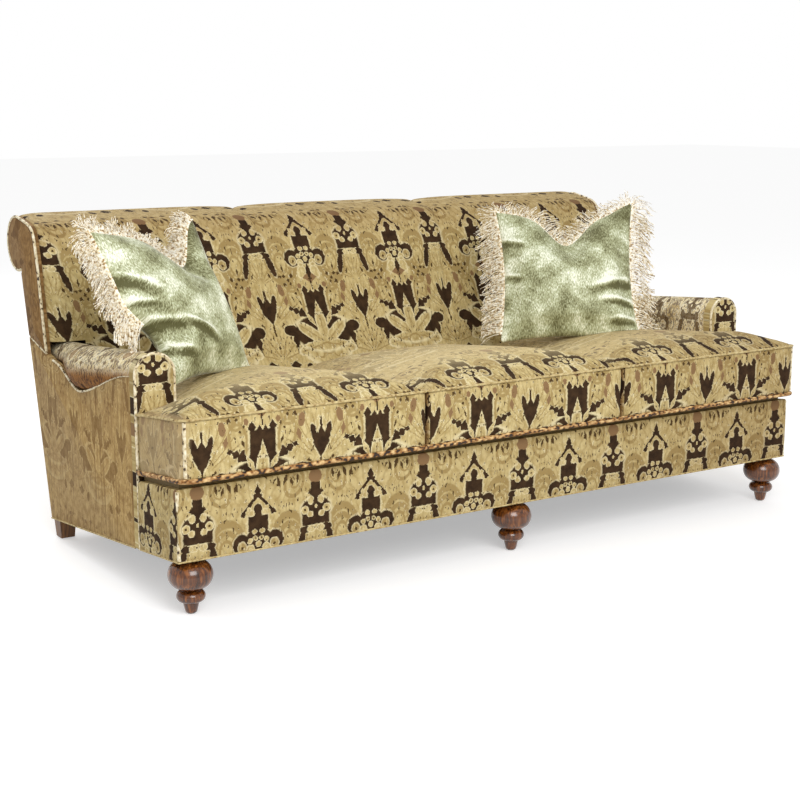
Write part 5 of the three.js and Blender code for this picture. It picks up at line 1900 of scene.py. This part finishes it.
def makeFeet():
    top = bottomEdge(feet["inset"] + feet["bunRadius"]) - gap
    bunMiddle = top - feet["bunHeight"] / 2
    ringMiddle = top - feet["bunHeight"] - feet["beadHeight"] - feet["ringHeight"] / 2
    ringBottom = ringMiddle - feet["ringHeight"] / 2
    bottom, toe = feet["bottom"], feet["toeRadius"]
    stemTop = ringBottom - feet["beadHeight"] / 2
    profile = [(0, bottom), (toe * 0.9, bottom), (toe, bottom + 0.001)]
    for share in steps(0.1, 1, 8):
        profile.append((lerp(toe, feet["stemRadius"], share ** 0.8), lerp(bottom, stemTop, share)))

    def swell(inner, outer, middle, height, start, end, count):
        for angle in steps(math.radians(start), math.radians(end), count):
            profile.append((inner + (outer - inner) * math.cos(angle), middle + height / 2 * math.sin(angle)))

    swell(feet["stemRadius"], feet["ringRadius"], ringMiddle, feet["ringHeight"], -90, 90, 16)
    neck = ringMiddle + feet["ringHeight"] / 2 + feet["beadHeight"] / 2
    profile.append((feet["neckRadius"] - 0.003, neck))
    swell(feet["neckRadius"], feet["bunRadius"], bunMiddle, feet["bunHeight"], -90, 76, 26)
    profile += [(feet["shoulderRadius"], top), (0, top)]
    count = feet["segments"]
    for side, x in (("left", -feet["spacing"]), ("centre", 0), ("right", feet["spacing"])):
        rows, cloths = [], []
        for radius, z in profile[1:-1]:
            angles = [2 * math.pi * k / count for k in range(count + 1)]
            turned = [(radius * math.cos(a), radius * math.sin(a)) for a in angles[:-1]]
            rows.append([Vector((x + across, feet["inset"] + ahead, z)) for across, ahead in turned])
            cloths.append([(a * feet["bunRadius"], z) for a in angles])
        piece = makePiece("turnedFoot_" + side, [gridShape(rows, cloths, wrap=True, caps=True)], footWood, 50)
        settle(piece, "frame", ["foot_front_" + side])


print("feet")
makeFeet()


# Seat deck: cotton over felt, sagging a little between the springs
deck = {"thickness": 0.022, "front": 0.022, "rear": 0.820, "sag": 0.006, "cell": 0.03}


def makeDeck():
    def slab(x0, x1, y0, y1):
        columns = max(2, round((x1 - x0) / deck["cell"]))
        lengths = max(2, round((y1 - y0) / deck["cell"]))
        rows, cloths = [], []
        for y in steps(y0, y1, lengths):
            top = seatPlane(y) - gap
            edge = math.sin(math.pi * (y - deck["front"]) / (deck["rear"] - deck["front"]))
            upper = []
            for x in steps(x0, x1, columns):
                dip = deck["sag"] * max(0, edge) * math.sqrt(max(0, 1 - (x / armInside) ** 2))
                upper.append(Vector((x, y, top - dip)))
            lower = [Vector((x, y, top - deck["thickness"])) for x in steps(x1, x0, columns)]
            rows.append(upper + lower)
            row = [(p.x, p.y) for p in upper + lower]
            cloths.append(row + row[:1])
        return gridShape(rows, cloths, wrap=True, caps=True)

    earRear = arms["frontFace"] - gap
    side = armInside - gap
    shapes = [
        slab(-timberOutside, timberOutside, deck["front"], earRear),
        slab(-side, side, earRear + gap / 4, deck["rear"]),
    ]
    piece = makePiece("seatDeckCloth", shapes, deckCotton)
    settle(piece, "frame", ["seat_deck"])


# Dust cover: thin black cloth stapled tight under the rails
dust = {"lift": 0.004, "thickness": 0.0006, "sag": 0.003, "cell": 0.04}


def makeDustCover():
    clothSide = timberInside - gap
    clothFront = feet["inset"] + feet["bunRadius"]
    rows, cloths = [], []
    columns = round(2 * clothSide / dust["cell"])
    for y in steps(clothFront, deck["rear"], 18):
        low = bottomEdge(y) + dust["lift"]
        inRun = math.sin(math.pi * (y - clothFront) / (deck["rear"] - clothFront))
        line = []
        for x in steps(-clothSide, clothSide, columns):
            sag = dust["sag"] * inRun * abs(math.cos(math.pi * x / (2 * clothSide)))
            line.append(Vector((x, y, low - sag)))
        upper = [p + Vector((0, 0, dust["thickness"])) for p in reversed(line)]
        rows.append(line + upper)
        row = [(p.x, p.y) for p in line + upper]
        cloths.append(row + row[:1])
    piece = makePiece("dustCover", [gridShape(rows, cloths, wrap=True, caps=True)], dustCloth)
    settle(piece, "frame", ["dust_cover"])
    slant = math.hypot(deck["rear"] - clothFront, bottomEdge(clothFront) - bottomEdge(deck["rear"]))


print("deck and dust cover")
makeDeck()
makeDustCover()

# The frame's own timber and steel keep their shapes and get their finishes.
finishes = [
    (("front_rail", "back_rail", "side_rail", "seat_stretcher", "back_post", "back_top_rail",
      "back_tuck_rail", "arm_board", "arm_post", "foot_block"), frameWood),
    (("rear_leg",), legWood),
    (("seat_springs",), springSteel),
    (("foot_bolt",), boltSteel),
    (("glide",), glideSteel),
]
for name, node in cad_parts.items():
    for starts, material in finishes:
        if name.startswith(starts):
            node.data.materials.clear()
            node.data.materials.append(material)

# Stage: a white sweep that keeps the shadow, soft lamps and the camera
stage = {"floorGlow": 0.42, "floorColour": "#DCDCDC", "worldLight": 0.75}
camera = {
    "place": (-2.60608, -3.36642, 1.29586),  # from the middle of the border's face
    "yaw": 33.0155,  # degrees from the sofa's depth towards its right
    "pitch": 11.1942,
    "lens": 68.08,  # mm on a 36 mm sensor
}


def makeStage():
    size = 30
    mesh = bpy.data.meshes.new("floor")
    corners = [(-size, -size, 0), (size, -size, 0), (size, size, 0), (-size, size, 0)]
    mesh.from_pydata(corners, [], [(0, 1, 2, 3)])
    floor = newObject("floor", mesh)
    material, tree, shader = newMaterial("studio floor")
    colour = linear(stage["floorColour"])
    feed(tree, shader, {"Base Color": colour, "Roughness": 1.0, "Specular IOR Level": 0.0})
    path = addNode(tree, "ShaderNodeLightPath").outputs
    seen = maths(tree, "MAXIMUM", path["Is Camera Ray"], path["Is Glossy Ray"])
    seen = maths(tree, "MAXIMUM", seen, path["Is Transmission Ray"])
    strength = times(tree, seen, stage["floorGlow"])
    glow = addNode(tree, "ShaderNodeEmission", {"Color": (1, 1, 1, 1), "Strength": strength})
    both = addNode(tree, "ShaderNodeAddShader", {0: shader.outputs["BSDF"], 1: glow.outputs[0]})
    output = next(node for node in tree.nodes if node.type == "OUTPUT_MATERIAL")
    tree.links.new(both.outputs[0], output.inputs["Surface"])
    mesh.materials.append(material)

    world = bpy.data.worlds.new("studio")
    bpy.context.scene.world = world
    world.use_nodes = True
    tree = world.node_tree
    tree.nodes.clear()
    path = addNode(tree, "ShaderNodeLightPath").outputs
    seen = maths(tree, "MAXIMUM", path["Is Camera Ray"], path["Is Transmission Ray"])
    level = ranged(tree, seen, 0.0, 1.0, stage["worldLight"], 1.0)
    sky = addNode(tree, "ShaderNodeBackground", {"Color": (1, 1, 1, 1), "Strength": level})
    addNode(tree, "ShaderNodeOutputWorld", {"Surface": sky.outputs[0]})

    for name, place, target, side, power in (
        ("front lamp", (-1.4, -4.3, 3.2), (-0.2, 0, 0.4), 2.6, 150),
        ("rear lamp", (-0.8, 4.5, 4.0), (0, 0, 0.3), 2.4, 90),
    ):
        light = bpy.data.lights.new(name, "AREA")
        light.shape = "SQUARE"
        light.size = side
        light.energy = power
        lamp = newObject(name, light)
        lamp.location = place
        lamp.rotation_euler = (Vector(target) - Vector(place)).to_track_quat("-Z", "Y").to_euler()


def makeCamera():
    lens = bpy.data.cameras.new("camera")
    lens.lens = camera["lens"]
    lens.sensor_width = 36
    view = newObject("camera", lens)
    view.location = origin + Vector(camera["place"])
    view.rotation_euler = (math.radians(90 - camera["pitch"]), 0, -math.radians(camera["yaw"]))
    bpy.context.scene.camera = view


print("stage")
makeStage()
makeCamera()
bpy.context.scene.view_settings.view_transform = "Standard"
